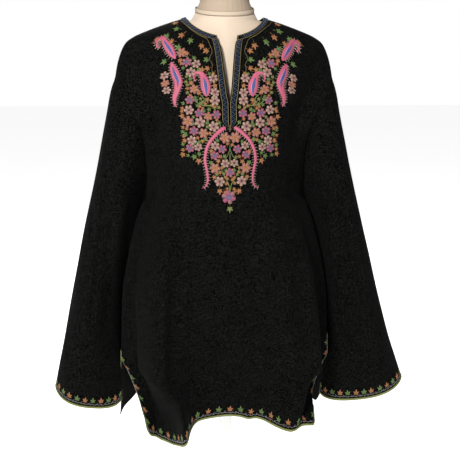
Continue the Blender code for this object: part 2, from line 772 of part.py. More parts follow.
def build_band(panels, normals):
    """The band that lies on the panels round the neck hole and down the slit."""
    points = []
    directions = []
    faces = []
    for half in (0, 1):
        stations = band_half(
            halves(panels[0])[half],
            halves(normals[0])[half],
            halves(panels[1])[half],
            halves(normals[1])[half],
        )
        start = len(points)
        for inner, inner_normal, outer, outer_normal in stations:
            points += [inner, outer]
            directions += [inner_normal, outer_normal]
        for k in range(len(stations) - 1):
            a = start + 2 * k
            face = (a, a + 1, a + 3, a + 2)
            faces.append(face if half else face[::-1])
    points = np.array(points)
    directions = np.array(directions)
    points[np.abs(points[:, 1]) < SEAM_GAP, 1] = 0.0
    directions /= np.linalg.norm(directions, axis=1)[:, None]
    _, first, same = np.unique(np.round(points, 6), axis=0, return_index=True, return_inverse=True)
    same = same.ravel()
    welded = []
    for face in faces:
        kept = list(dict.fromkeys(int(same[v]) for v in face))
        welded.append(tuple(kept))
    points = points[first]
    directions = directions[first]
    welded = split_faces(points, welded)
    lifted = points + directions * (BAND_LIFT + BAND_THICKNESS)
    solid = thick_sheet(lifted, welded, directions, BAND_THICKNESS)
    add_object("neck_band", *solid, material("band_wool", (0.02, 0.018, 0.014), 0.8))


def build_form():
    """Limbless form, its neck block, the pole and the round base."""
    cover = material("form_cover", (0.86, 0.72, 0.56), 0.75)
    block = material("form_neck_cover", (0.60, 0.46, 0.32), 0.7)
    paint = material("stand_paint", (0.82, 0.82, 0.80), 0.35)
    seam = (NECK_SEAM_HALF_WIDTH, NECK_SEAM_HALF_DEPTH, NECK_SEAM_HALF_DEPTH, 2.0)
    rings = [ring_points(*row, FORM_SIDES) for row in FORM_RINGS]
    rings.append(ring_points(NECK_SEAM_Z, *seam, FORM_SIDES, NECK_SEAM_SLOPE))
    add_object("form_torso", *loft(rings), cover)
    neck = [ring_points(NECK_SEAM_Z + PART_GAP, *seam, FORM_SIDES, NECK_SEAM_SLOPE)]
    neck += [round_ring(z, radius, FORM_SIDES, slope) for z, radius, slope in NECK_RINGS]
    add_object("form_neck", *loft(neck), block)
    base = [round_ring(z, radius, BASE_SIDES) for z, radius in BASE_RINGS]
    add_object("form_base", *loft(base), paint)
    ends = (BASE_RINGS[-1][0] + PART_GAP, FORM_RINGS[0][0] - PART_GAP)
    add_object("form_pole", *loft([round_ring(z, POLE_RADIUS, POLE_SIDES) for z in ends]), paint)


def main():
    for old in list(bpy.data.objects):
        bpy.data.objects.remove(old, do_unlink=True)
    made = bpy.data.collections.new("pullover_tunic_top")
    bpy.context.scene.collection.children.link(made)
    build_cloth()
    build_form()


main()
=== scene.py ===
import math

import bpy
import numpy as np
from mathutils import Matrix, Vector
from mathutils.bvhtree import BVHTree


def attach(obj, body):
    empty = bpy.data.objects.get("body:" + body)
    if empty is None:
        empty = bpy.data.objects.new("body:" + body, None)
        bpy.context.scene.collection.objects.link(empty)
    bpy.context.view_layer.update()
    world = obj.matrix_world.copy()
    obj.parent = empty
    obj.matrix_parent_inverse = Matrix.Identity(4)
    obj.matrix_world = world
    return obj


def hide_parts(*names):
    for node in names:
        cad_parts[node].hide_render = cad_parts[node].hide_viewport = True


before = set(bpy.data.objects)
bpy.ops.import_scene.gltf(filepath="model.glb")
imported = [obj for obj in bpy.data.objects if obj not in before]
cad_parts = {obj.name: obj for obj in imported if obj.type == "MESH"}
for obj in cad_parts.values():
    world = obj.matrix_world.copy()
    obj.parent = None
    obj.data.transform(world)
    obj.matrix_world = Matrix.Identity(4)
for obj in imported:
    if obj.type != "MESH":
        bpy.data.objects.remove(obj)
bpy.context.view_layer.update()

# Left and right are as seen from the front, -X and +X. The sleeves' names go by the wearer's sides.

# Cloth counts, finer than the solids: columns from centre to side, rows from neck edge to hem
HALF_COLUMNS = 72
BAND_COLUMNS = 3
NECK_COLUMN = 25
BAND_ROWS = 3
CHEST_ROW = 34
UNDERARM_ROW = 62
SLIT_ROW = 112
HEM_ROW = 142
SLEEVE_ROWS = 120

# Thickness of the wool and of the band, and the gap at a seam
CLOTH = 0.0011
BAND_CLOTH = 0.0009
SEAM_GAP = 0.0003

# Points that a row is shaped with before it is stepped out evenly
DENSE = 480

# The panels from the shoulder ridge down to the chest: steps, roundness, places across
YOKE_STEPS = 81
YOKE_CENTRE_ROUNDNESS = 1.25
YOKE_SHOULDER_ROUNDNESS = 2.10
YOKE_ROUND_PLACE = 0.45
YOKE_EDGE_PLACE = 0.75

# Oval of a sleeve, and the share of its length in which it takes on the armhole's form
SLEEVE_FULLNESS = 1.1
SLEEVE_BLEND = 0.30

# How panel and sleeve must face each other for their edge walls to part, or to match
SHARP_VALLEY = -0.2
FLAT_SEAM = 0.5

# Heights shared by front and back
CHEST_Z = 0.850
CHEST_EDGE_Z = 0.800
UNDERARM_Z = 0.670
SLIT_TOP_Z = 0.345
HEM_DROP = 0.125

# Share of a panel's width in which the folds fall to nothing at its outer edge
EDGE_CALM = 0.16

# Neck hole
NECK_HALF_WIDTH = 0.071
NECK_FRONT_DEPTH = 0.0686
NECK_BACK_DEPTH = 0.058
NECK_FRONT_DROP = 0.036
NECK_BACK_DROP = 0.015
NECK_DROP_POWER = 1.4
SLIT_FORWARD = 0.0035
SLIT_HALF_WIDTH = 0.018
RIDGE_SLOPE = 21.0
NECK_SLOPE = 66.0
BAND_WIDTH = 0.010

# Shoulder ridge: x, z
RIDGE = (
    (0.071, 0.9985),
    (0.100, 0.9900),
    (0.140, 0.9760),
    (0.168, 0.9640),
    (0.183, 0.9530),
    (0.194, 0.9315),
    (0.200, 0.9110),
    (0.203, 0.8950),
)

# Side seam, shared by front and back: z, x, y
SIDE_SEAM = (
    (0.650, 0.1614, 0.000),
    (0.612, 0.1757, 0.000),
    (0.560, 0.1873, 0.000),
    (0.500, 0.1983, 0.000),
    (0.466, 0.2025, 0.000),
    (0.400, 0.2055, 0.000),
    (0.345, 0.2078, 0.000),
)

# Outer edge of the front panel, armhole then side seam then slit: z, x, y
FRONT_EDGE = (
    (0.895, 0.203, 0.000),
    (0.875, 0.201, -0.020),
    (0.855, 0.195, -0.034),
    (0.816, 0.165, -0.050),
    (0.760, 0.152, -0.030),
    (0.670, 0.150, 0.000),
) + SIDE_SEAM + (
    (0.330, 0.1960, -0.020),
    (0.310, 0.1840, -0.040),
    (0.287, 0.1725, -0.062),
    (0.265, 0.1640, -0.080),
    (0.235, 0.1560, -0.100),
)

# Outer edge of the back panel, the same
BACK_EDGE = (
    (0.895, 0.203, 0.000),
    (0.875, 0.201, 0.020),
    (0.855, 0.195, 0.032),
    (0.816, 0.165, 0.046),
    (0.760, 0.152, 0.030),
    (0.670, 0.150, 0.000),
) + SIDE_SEAM + (
    (0.300, 0.2085, 0.012),
    (0.255, 0.2090, 0.022),
    (0.232, 0.2115, 0.027),
    (0.205, 0.2140, 0.030),
)

# How far round its curve a section runs before it meets the outer edge: z, degrees
SECTION_END = (
    (0.300, 84.0),
    (0.345, 90.0),
    (0.530, 90.0),
    (0.610, 78.0),
    (0.670, 60.0),
    (0.720, 54.0),
    (0.800, 58.0),
)

# Centre line of the front panel: z, y, fullness of the section
FRONT_CENTRE = (
    (0.850, -0.112, 2.0),
    (0.800, -0.125, 2.0),
    (0.745, -0.131, 1.95),
    (0.650, -0.128, 2.1),
    (0.500, -0.122, 2.4),
    (0.400, -0.114, 2.6),
    (0.345, -0.106, 2.6),
    (0.250, -0.094, 2.6),
)

# Centre line of the back panel: z, y, fullness of the section
BACK_CENTRE = (
    (0.850, 0.106, 2.0),
    (0.800, 0.108, 2.0),
    (0.745, 0.107, 1.95),
    (0.650, 0.104, 2.1),
    (0.500, 0.113, 2.4),
    (0.400, 0.126, 2.5),
    (0.345, 0.130, 2.4),
    (0.225, 0.136, 2.2),
)

# Folds of the front panel: place at top and hem (-1 to 1 across), height it starts at,
# depth at the hem (out is +), widths towards -X and +X, growth on the way down
FRONT_FOLDS = (
    ("left pipe", -0.46, -0.44, 0.800, 0.066, 0.22, 0.11, 1.9),
    ("left side dip", -0.78, -0.80, 0.760, -0.020, 0.10, 0.16, 1.0),
    ("centre trough", -0.04, 0.00, 0.620, -0.006, 0.16, 0.22, 1.6),
    ("right pipe", 0.44, 0.64, 0.800, 0.052, 0.32, 0.20, 1.4),
    ("right hem front", 0.68, 0.88, 0.370, 0.064, 0.26, 0.13, 2.4),
    ("left slit hollow", -0.85, -0.85, 0.560, -0.026, 0.18, 0.20, 0.9),
    ("left hem filled out", -0.85, -0.85, 0.345, 0.026, 0.18, 0.20, 1.0),
    ("right slit hollow", 0.85, 0.85, 0.560, -0.034, 0.22, 0.18, 0.9),
    ("right hem filled out", 0.85, 0.85, 0.345, 0.034, 0.22, 0.18, 1.0),
    ("right inner crest", 0.26, 0.24, 0.560, 0.010, 0.10, 0.10, 1.3),
    ("right side dip", 0.72, 0.78, 0.760, -0.020, 0.12, 0.16, 1.0),
)

# Folds of the back panel, same columns
BACK_FOLDS = (
    ("left pipe", -0.52, -0.56, 0.760, 0.040, 0.20, 0.16, 1.8),
    ("left trough", -0.24, -0.27, 0.640, -0.014, 0.10, 0.12, 1.5),
    ("centre crest", 0.02, 0.00, 0.700, 0.022, 0.16, 0.15, 1.7),
    ("right trough", 0.30, 0.28, 0.640, -0.015, 0.11, 0.10, 1.5),
    ("right pipe", 0.55, 0.58, 0.760, 0.036, 0.17, 0.21, 1.8),
)

# Where the corner of the front's hem rolls out at a slit: place across, widths inwards and outwards
ROLL_PLACE = 0.88
ROLL_WIDTHS = (0.30, 0.14)

# Trough where the panel sinks beside the sleeve head: z, x, depth
ARM_TROUGH = (
    (0.955, 0.176, 0.000),
    (0.925, 0.172, 0.008),
    (0.880, 0.160, 0.020),
    (0.850, 0.154, 0.022),
    (0.810, 0.146, 0.012),
    (0.760, 0.140, 0.000),
)
ARM_TROUGH_WIDTH = 0.017

# Hem height across the panels: place, z
FRONT_HEM = (
    (-1.00, 0.238),
    (-0.90, 0.232),
    (-0.80, 0.222),
    (-0.68, 0.211),
    (-0.56, 0.202),
    (-0.44, 0.2015),
    (-0.36, 0.209),
    (-0.30, 0.226),
    (-0.24, 0.240),
    (0.00, 0.252),
    (0.20, 0.2515),
    (0.30, 0.249),
    (0.42, 0.247),
    (0.55, 0.250),
    (0.66, 0.254),
    (1.00, 0.256),
)
BACK_HEM = (
    (-1.00, 0.207),
    (-0.50, 0.222),
    (0.00, 0.232),
    (0.50, 0.222),
    (0.85, 0.212),
    (1.00, 0.236),
)

# Sleeve stations: share of length, x and z of the outer line, x and z of the under line,
# y in front, y behind, drop in front, y of the under line
SLEEVE = (
    (0.00, 0.203, 0.895, 0.150, 0.670, -0.050, 0.046, 0.000, 0.000),
    (0.06, 0.214, 0.858, 0.162, 0.650, -0.060, 0.055, 0.000, 0.008),
    (0.15, 0.225, 0.803, 0.175, 0.614, -0.066, 0.060, 0.000, 0.018),
    (0.27, 0.240, 0.726, 0.187, 0.560, -0.070, 0.062, 0.000, 0.025),
    (0.50, 0.274, 0.580, 0.204, 0.466, -0.065, 0.057, 0.004, 0.028),
    (0.75, 0.311, 0.423, 0.210, 0.361, -0.056, 0.050, 0.012, 0.022),
    (1.00, 0.349, 0.288, 0.213, 0.254, -0.045, 0.040, 0.016, 0.006),
)

# Extra reach of each sleeve's outer line: its terms in the share of length and in its square
SLEEVE_LEAN = {-1: (0.0188, -0.0308), 1: (-0.0028, 0.0158)}

# How far each sleeve's under line tucks in against the body just below the arm, and at the cuff,
# and the shares of the length in which these come and go
SLEEVE_TUCK = {-1: 0.0080, 1: 0.0062}
TUCK_START = 0.010
TUCK_REACH = 0.24
CUFF_TUCK = {-1: 0.001, 1: 0.0145}
CUFF_TUCK_START = 0.6
CUFF_TUCK_GROWTH = 1.6

# Folds of a sleeve: angle round it in degrees at top and cuff (0 outer, 90 front, 180 under,
# 270 back), share where it starts and is deepest, depth at that share and at the cuff (out is +),
# width in degrees
SLEEVE_FOLDS = (
    ("front crease", 70.0, 150.0, 0.10, 0.45, -0.013, 0.000, 17.0),
    ("inner pipe", 108.0, 172.0, 0.10, 0.50, 0.006, 0.002, 26.0),
    ("outer pipe", 30.0, 62.0, 0.20, 0.60, 0.004, 0.005, 28.0),
    ("cuff dip", 96.0, 100.0, 0.55, 0.90, -0.004, -0.007, 24.0),
    ("back crease", 285.0, 225.0, 0.12, 0.50, -0.012, -0.002, 20.0),
    ("back pipe", 325.0, 280.0, 0.20, 0.65, 0.006, 0.005, 30.0),
)

# Fine creases of the front panel: points x, z along each, width, depth (out is +)
FRONT_CREASES = (
    (((-0.080, 0.800), (-0.093, 0.650), (-0.101, 0.480), (-0.106, 0.340), (-0.108, 0.205)),
     0.009, -0.0046),
    (((-0.100, 0.740), (-0.116, 0.600), (-0.128, 0.430), (-0.136, 0.260)), 0.013, 0.0034),
    (((-0.076, 0.520), (-0.071, 0.400), (-0.070, 0.240)), 0.006, -0.0042),
    (((0.078, 0.760), (0.104, 0.660), (0.128, 0.554), (0.146, 0.440), (0.156, 0.330), (0.160, 0.235)),
     0.011, -0.0052),
    (((0.064, 0.700), (0.088, 0.590), (0.104, 0.470), (0.112, 0.330), (0.115, 0.240)), 0.013, 0.0034),
    (((0.002, 0.660), (0.030, 0.570), (0.061, 0.455), (0.072, 0.360)), 0.010, -0.0034),
    (((0.020, 0.520), (0.014, 0.400), (0.016, 0.270)), 0.013, 0.0026),
    (((-0.030, 0.560), (-0.044, 0.440), (-0.040, 0.300)), 0.013, -0.0026),
    (((0.116, 0.860), (0.128, 0.810), (0.126, 0.750)), 0.012, -0.0022),
    (((-0.122, 0.850), (-0.126, 0.790), (-0.118, 0.730)), 0.012, -0.0022),
    (((-0.150, 0.660), (-0.158, 0.560), (-0.166, 0.470)), 0.012, -0.0020),
    (((0.150, 0.640), (0.170, 0.520), (0.178, 0.410)), 0.011, -0.0018),
)

# Fine creases of the back panel, the same
BACK_CREASES = (
    (((-0.100, 0.900), (-0.090, 0.780), (-0.104, 0.620), (-0.116, 0.430), (-0.124, 0.240)),
     0.013, -0.0034),
    (((-0.050, 0.780), (-0.056, 0.600), (-0.050, 0.420), (-0.060, 0.240)), 0.015, 0.0024),
    (((0.006, 0.700), (0.012, 0.520), (0.004, 0.380), (0.010, 0.240)), 0.013, -0.0022),
    (((0.062, 0.800), (0.056, 0.640), (0.066, 0.460), (0.060, 0.240)), 0.014, 0.0024),
    (((0.104, 0.880), (0.098, 0.740), (0.116, 0.560), (0.122, 0.400), (0.132, 0.230)),
     0.012, -0.0034),
    (((-0.020, 0.930), (0.000, 0.905), (0.024, 0.932)), 0.010, -0.0014),
)

# Fine creases of a sleeve: points (degrees round it, share of its length), width, depth
SLEEVE_CREASES = (
    (((62.0, 0.06), (72.0, 0.22), (84.0, 0.45), (88.0, 0.72)), 0.009, -0.0026),
    (((116.0, 0.10), (120.0, 0.32), (110.0, 0.55), (100.0, 0.66)), 0.011, 0.0020),
    (((40.0, 0.36), (66.0, 0.44), (92.0, 0.47)), 0.008, -0.0014),
    (((130.0, 0.52), (104.0, 0.57), (76.0, 0.60)), 0.009, -0.0014),
    (((282.0, 0.10), (268.0, 0.34), (262.0, 0.60), (256.0, 0.84)), 0.010, -0.0028),
    (((330.0, 0.40), (300.0, 0.50), (262.0, 0.54)), 0.009, -0.0016),
    (((240.0, 0.40), (252.0, 0.56), (240.0, 0.74)), 0.010, 0.0018),
)

# Radius and length of the flat sleeve that its creases are drawn on
SLEEVE_GIRTH = 0.075
SLEEVE_LENGTH = 0.62
SLEEVE_WAVE_RADIUS = 0.09
SLEEVE_CREASE_TURN = 6.0

# Strength of all fine creases, lengths and depth of the slow waves, and depth of a sewn seam line
CREASE_FULL = 1.5
WAVE_LENGTHS = (0.34, 0.21, 0.16, 0.11, 0.08, 0.06)
WAVE_DEPTH = 0.0042
SEAM_SINK = 0.0009

# Columns and rows in which the creases fall to nothing at side seam, top edge, slit and band
CALM_EDGE = 9
CALM_TOP = 10.0
CALM_SLIT = 8.0
CALM_BAND = 5.0

# Dress form: z, half width, front depth, back depth, fullness (2 is an ellipse)
FORM_RINGS = (
    (0.330, 0.148, 0.086, 0.096, 2.0),
    (0.336, 0.158, 0.093, 0.105, 2.0),
    (0.365, 0.166, 0.097, 0.111, 2.0),
    (0.405, 0.168, 0.100, 0.113, 2.0),
    (0.450, 0.164, 0.099, 0.107, 2.0),
    (0.500, 0.148, 0.094, 0.096, 2.0),
    (0.545, 0.129, 0.088, 0.085, 2.0),
    (0.590, 0.118, 0.085, 0.080, 2.0),
    (0.640, 0.118, 0.092, 0.079, 2.0),
    (0.690, 0.126, 0.108, 0.083, 2.0),
    (0.730, 0.134, 0.118, 0.088, 2.0),
    (0.770, 0.139, 0.115, 0.092, 2.0),
    (0.810, 0.146, 0.105, 0.094, 2.0),
    (0.850, 0.158, 0.096, 0.092, 2.0),
    (0.890, 0.170, 0.085, 0.084, 1.9),
    (0.920, 0.177, 0.074, 0.074, 1.8),
    (0.938, 0.179, 0.066, 0.066, 1.7),
    (0.948, 0.177, 0.062, 0.061, 1.6),
    (0.956, 0.166, 0.059, 0.057, 1.55),
    (0.9675, 0.136, 0.056, 0.053, 1.5),
    (0.9838, 0.091, 0.050, 0.050, 1.45),
    (0.9950, 0.061, 0.048, 0.0485, 1.7),
)
FORM_SIDES = 96
NECK_SEAM_Z = 1.0090
NECK_SEAM_SLOPE = 0.21
NECK_SEAM_HALF_WIDTH = 0.054
NECK_SEAM_HALF_DEPTH = 0.0475
BINDING_SIDES = 8

# Light of the room where no lamp reaches, and the floor's own glow, which keeps it white
ROOM_LIGHT = 0.14
FLOOR_GLOW = 0.84

# Camera: lens and film width in millimetres, turn and tilt in degrees, place in metres
LENS = 61.43
FILM = 36.0
CAMERA_TURN = -4.4
CAMERA_TILT = 11.4
CAMERA_OFFSET = 0.010
CAMERA_REACH = 1.5
CAMERA_HEIGHT = 0.901

# Neck band: how far it stands off the panels, its last row, the rows of its tip, how much wider it
# grows down the slit
BAND_LIFT = 0.0012
BAND_END_ROW = CHEST_ROW + 8
BAND_TIP_ROWS = 3.0
BAND_FULLER = 1.36

# Charts the thread work is laid on: the chest's radius, the steps, their reach from an edge
YOKE_RADIUS = 0.112
YOKE_STEP = 0.002
EDGE_STEP = 0.001
EDGE_RUN_STEP = 0.002
BORDER_REACH = 0.024
BACK_NECK_REACH = 0.028

# The yoke's chart reaches this far out to each side, and from above the chest line to below it
YOKE_OUT = (-0.156, 0.1565)
YOKE_DOWN = (-0.172, 0.2125)

# Thread work: depth of a stitch's edges in the cloth, strength of the dyes, pitch of the satin
THREAD_SUNK = 0.0003
DYE_DEPTH = 0.45
STITCH_PITCH = 0.00055

# How far petals, leaves and paisleys stand up from the cloth
PETAL_RISE = 0.0013
LEAF_RISE = 0.0011
PAISLEY_RISE = 0.0016

# A flower's radius as a share of its size; ground, petal root, petal half width and centre as
# shares of the radius
FLOWER_RADIUS = 0.56
FLOWER_GROUND = 1.02
PETAL_ROOT = 0.14
PETAL_HALF = 0.385
FLOWER_CENTRE = 0.22

# A leaf's full size against its charted one, and the half width of its stem
LEAF_FULL = 1.32
LEAF_STEM_HALF = 0.00035

# Fringe: steps, length and lean of the strands, half widths at root and tip
FRINGE_PITCH = 0.0050
FRINGE_LENGTH = (0.0030, 0.0040)
FRINGE_LEAN = (0.0002, 0.0016)
FRINGE_HALF = (0.00066, 0.00036)

# Small leaves that fill the field: tries, sizes, and the room each keeps to its neighbours, in
# millimetres, to flowers, leaves, paisleys and one another
FILLER_TRIES = 2600
FILLER_SIZE = (0.0062, 0.0074)
FLOWER_ROOM = 2.6
LEAF_ROOM = 2.0
PAISLEY_ROOM = 4.4
FILLER_ROOM = 5.2

# Band: couched lines (place of the inner one and what it gains where the band is wider, outer one's
# place from the edge), zigzag (pitch, room to the two lines)
COUCHED_INNER = 0.0011
COUCHED_GAIN = 0.0016
COUCHED_OUTER = 0.0009
COUCHED_RISE = 0.0010
ZIGZAG_PITCH = 0.0084
ZIGZAG_LOW = 0.0013
ZIGZAG_HIGH = 0.0014

# The yoke's halves are not cut quite alike
YOKE_FULLER = {-1: 0.99, 1: 1.04}

# Borders, in metres in from the edge: edging and its half width, wavy thread with its wave, leaves,
# the rows by which they run on above each slit, and the steps from leaf to leaf
EDGING_PLACE = 0.0017
EDGING_HALF = 0.0024
VINE_PLACE = 0.0080
VINE_SWING = 0.0010
VINE_WAVE = 0.0085
LEAF_PLACE = 0.0138
LEAF_SIZE = 0.0108
LEAF_TURN = 0.25
ROWS_ABOVE_SLIT = (2, 6)
HEM_PITCH = 0.0215
CUFF_PITCH = 0.0165
BACK_NECK_PITCH = 0.0185


# ---------------------------------------------------------------- curves and sheets

def smooth_curve(table, key, column):
    """Values of a table column at the keys, on a smooth curve through the rows."""
    rows = sorted(table, key=lambda row: row[0])
    a = np.array([row[0] for row in rows], dtype=float)
    b = np.array([row[column] for row in rows], dtype=float)
    k = np.clip(np.asarray(key, dtype=float), a[0], a[-1])
    steps = np.diff(b) / np.diff(a)
    slope = np.zeros_like(b)
    slope[0] = steps[0]
    slope[-1] = steps[-1]
    same = steps[:-1] * steps[1:] > 0
    both = np.where(same, steps[:-1] + steps[1:], 1.0)
    slope[1:-1] = np.where(same, 2.0 * steps[:-1] * steps[1:] / both, 0.0)
    i = np.clip(np.searchsorted(a, k, side="right") - 1, 0, len(a) - 2)
    h = a[i + 1] - a[i]
    f = (k - a[i]) / h
    near = (1 + 2 * f) * (1 - f) ** 2 * b[i] + f * (1 - f) ** 2 * h * slope[i]
    far = f * f * (3 - 2 * f) * b[i + 1] + f * f * (f - 1) * h * slope[i + 1]
    return near + far


def run_along(line):
    """Distance along a line of points, from its first."""
    steps = np.linalg.norm(np.diff(line, axis=0), axis=1)
    return np.concatenate([[0.0], np.cumsum(steps)])


def resample(values, run, wanted):
    """Each column of the values at the wanted distances along the run."""
    return np.stack([np.interp(wanted, run, values[:, c]) for c in range(values.shape[1])], axis=1)


def even_steps(points, count, first=None):
    """A line's points again in count even steps; the band's steps at its start may be closer."""
    run = run_along(points)
    wanted = np.linspace(0.0, run[-1], count + 1)
    if first is not None:
        near = np.linspace(0.0, first, BAND_COLUMNS, endpoint=False)
        wanted = np.concatenate([near, np.linspace(first, run[-1], count - BAND_COLUMNS + 1)])
    return resample(points, run, wanted)


def soft(share):
    """A share from 0 to 1, eased at both ends."""
    return share * share * (3 - 2 * share)


def bump(offset, left, right):
    """A soft hill of height 1 with its own width on each side."""
    width = np.where(offset < 0, left, right)
    return np.exp(-0.5 * (offset / (0.5 * width)) ** 2)


def fold_depth(folds, place, z):
    """How far the folds move the cloth out at a place across the panel."""
    total = np.zeros_like(place)
    for _, top, hem, start, depth, left, right, growth in folds:
        if z >= start:
            continue
        share = (start - z) / (start - SLIT_TOP_Z + HEM_DROP)
        centre = top + (hem - top) * min(share, 1.0)
        total += depth * share ** growth * bump(place - centre, left, right)
    return total


def section_row(panel, side, z_centre, z_edge, hem_share):
    """One row of half a panel, from the centre line to the outer edge."""
    sign = panel["sign"]
    across = np.linspace(0.0, 1.0, DENSE)
    place = side * across
    hem = smooth_curve(panel["hem"], place, 1)
    z = z_centre + (z_edge - z_centre) * across ** 2
    z = z + (hem - SLIT_TOP_Z) * hem_share
    y_centre = smooth_curve(panel["centre"], z[0], 1)
    fullness = smooth_curve(panel["centre"], z[0], 2)
    x_edge = smooth_curve(panel["edge"], z[-1], 1)
    y_edge = smooth_curve(panel["edge"], z[-1], 2)
    inset, forward = panel["corner"][side]
    x_edge -= inset * hem_share
    y_edge += forward * hem_share
    end = np.radians(smooth_curve(SECTION_END, z_edge, 1))
    angle = across * end
    wide = np.sin(angle) ** (2.0 / fullness)
    deep = np.maximum(np.cos(angle), 0.0) ** (2.0 / fullness)
    x = x_edge * wide / wide[-1]
    y = y_edge + (y_centre - y_edge) * (deep - deep[-1]) / (1.0 - deep[-1])
    base = even_steps(np.stack([x, y, z], axis=1), DENSE - 1)
    tangent = np.gradient(base[:, :2], axis=0)
    outward = np.stack([tangent[:, 1], -tangent[:, 0]], axis=1) * -sign
    outward /= np.linalg.norm(outward, axis=1)[:, None]
    outward[0] = (0.0, sign)
    depth = fold_depth(panel["folds"], place, z_edge - HEM_DROP * hem_share)
    depth = depth - arm_trough(base[:, 0], base[:, 2])
    base[:, :2] += outward * (depth * edge_fade(across))[:, None]
    base[:, 0] += panel["roll"][side] * hem_share ** 2 * bump(across - ROLL_PLACE, *ROLL_WIDTHS)
    base[0, 0] = 0.0
    row = even_steps(base, HALF_COLUMNS, BAND_WIDTH if panel["slit"] else None)
    row[:, 0] *= side
    return row


def edge_fade(across):
    """1 over most of a panel, falling softly to 0 at its outer edge."""
    return soft(np.clip((1.0 - across) / EDGE_CALM, 0.0, 1.0))


def arm_trough(x, z):
    """Depth of the sunk line beside the sleeve head."""
    centre = smooth_curve(ARM_TROUGH, z, 1)
    depth = smooth_curve(ARM_TROUGH, z, 2)
    return depth * np.exp(-0.5 * ((x - centre) / ARM_TROUGH_WIDTH) ** 2)


def top_rows(panel, side):
    """Neck edge of half a panel, and the line a band's width below it, which runs on as the ridge."""
    sign = panel["sign"]
    start = math.asin(SLIT_HALF_WIDTH / NECK_HALF_WIDTH) if panel["slit"] else 0.0
    angle = np.linspace(start, math.pi / 2, DENSE)
    front = np.maximum(np.cos(angle), 0.0)
    x = NECK_HALF_WIDTH * np.sin(angle)
    y = sign * panel["neck_depth"] * front
    neck = np.stack([x, y, RIDGE[0][1] - panel["neck_drop"] * front ** NECK_DROP_POWER], axis=1)
    neck[-1, 1] = 0.0
    neck = even_steps(neck, NECK_COLUMN, BAND_WIDTH if panel["slit"] else None)
    front = np.abs(neck[:, 1]) / panel["neck_depth"]
    slope = np.radians(RIDGE_SLOPE + (NECK_SLOPE - RIDGE_SLOPE) * front ** 2)
    away = neck[:, :2] / np.linalg.norm(neck[:, :2], axis=1)[:, None]
    line = neck.copy()
    line[:, :2] += away * (BAND_WIDTH * np.cos(slope))[:, None]
    line[:, 2] -= BAND_WIDTH * np.sin(slope)
    if panel["slit"]:
        share = BAND_WIDTH / (neck[0, 2] - CHEST_Z)
        inner = neck[0] * (1.0 - share, 1.0, 1.0) - (0.0, SLIT_FORWARD, BAND_WIDTH)
        turn = np.linspace(0.0, 1.0, BAND_COLUMNS + 1)[:, None]
        line[:BAND_COLUMNS + 1] = inner + (line[BAND_COLUMNS] - inner) * turn
    run = np.linspace(0.0, 1.0, DENSE)
    table = [(i / (len(RIDGE) - 1), x, z) for i, (x, z) in enumerate(RIDGE)]
    ridge = np.stack(
        [smooth_curve(table, run, 1), np.zeros(DENSE), smooth_curve(table, run, 2)], axis=1
    )
    run = run_along(ridge)
    wanted = np.linspace(BAND_WIDTH, run[-1], HALF_COLUMNS - NECK_COLUMN + 1)
    line = np.concatenate([line[:-1], resample(ridge, run, wanted)])
    neck[:, 0] *= side
    line[:, 0] *= side
    return neck, line


def half_panel(panel, side):
    """Grid of points of half a panel, rows from the top edge to the hem."""
    grid = np.zeros((HEM_ROW + 1, HALF_COLUMNS + 1, 3))
    for j in range(CHEST_ROW, HEM_ROW + 1):
        z_centre, z_edge, hem_share = row_heights(j)
        grid[j] = section_row(panel, side, z_centre, z_edge, hem_share)
    neck, line = top_rows(panel, side)
    grid[BAND_ROWS:CHEST_ROW + 1] = yoke_rows(panel, side, line, grid[CHEST_ROW])
    for j in range(BAND_ROWS):
        grid[j] = line
        grid[j, :NECK_COLUMN + 1] = neck + (line[:NECK_COLUMN + 1] - neck) * j / BAND_ROWS
    return grid


def yoke_rows(panel, side, top, chest):
    """Rows from the shoulder ridge down to the chest row."""
    across = np.linspace(0.0, 1.0, HALF_COLUMNS + 1)
    near = np.clip((across - YOKE_EDGE_PLACE) / (1.0 - YOKE_EDGE_PLACE), 0.0, 1.0)
    rounder = np.clip(across / YOKE_ROUND_PLACE, 0.0, 1.0)
    roundness = YOKE_CENTRE_ROUNDNESS + (YOKE_SHOULDER_ROUNDNESS - YOKE_CENTRE_ROUNDNESS) * rounder
    rows = []
    for mix in np.linspace(0.0, 1.0, YOKE_STEPS):
        down = math.pi / 2 * mix
        out = math.sin(down) ** (2.0 / roundness)
        fall = max(math.cos(down), 0.0) ** (2.0 / roundness)
        row = top + (chest - top) * np.stack([np.full_like(out, mix), out, 1.0 - fall], axis=1)
        edge = [smooth_curve(panel["edge"], row[-1, 2], c) for c in (1, 2)]
        row[:, 0] += (side * edge[0] - row[-1, 0]) * near
        row[:, 1] += (edge[1] - row[-1, 1]) * near
        sunk = arm_trough(np.abs(row[:, 0]), row[:, 2]) * edge_fade(across)
        row[:, 1] -= panel["sign"] * sunk * mix * (1.0 - mix)
        rows.append(row)
    rows = np.array(rows)
    columns = [even_steps(rows[:, i], CHEST_ROW - BAND_ROWS) for i in range(HALF_COLUMNS + 1)]
    return np.stack(columns, axis=1)


def row_heights(j):
    """Height of row j at the centre and at the outer edge, and its share of the way to the hem."""
    if j <= UNDERARM_ROW:
        share = (j - CHEST_ROW) / (UNDERARM_ROW - CHEST_ROW)
        centre = CHEST_Z + (UNDERARM_Z - CHEST_Z) * share
        return centre, CHEST_EDGE_Z + (UNDERARM_Z - CHEST_EDGE_Z) * share, 0.0
    if j <= SLIT_ROW:
        share = (j - UNDERARM_ROW) / (SLIT_ROW - UNDERARM_ROW)
        z = UNDERARM_Z + (SLIT_TOP_Z - UNDERARM_Z) * share
        return z, z, 0.0
    return SLIT_TOP_Z, SLIT_TOP_Z, (j - SLIT_ROW) / (HEM_ROW - SLIT_ROW)


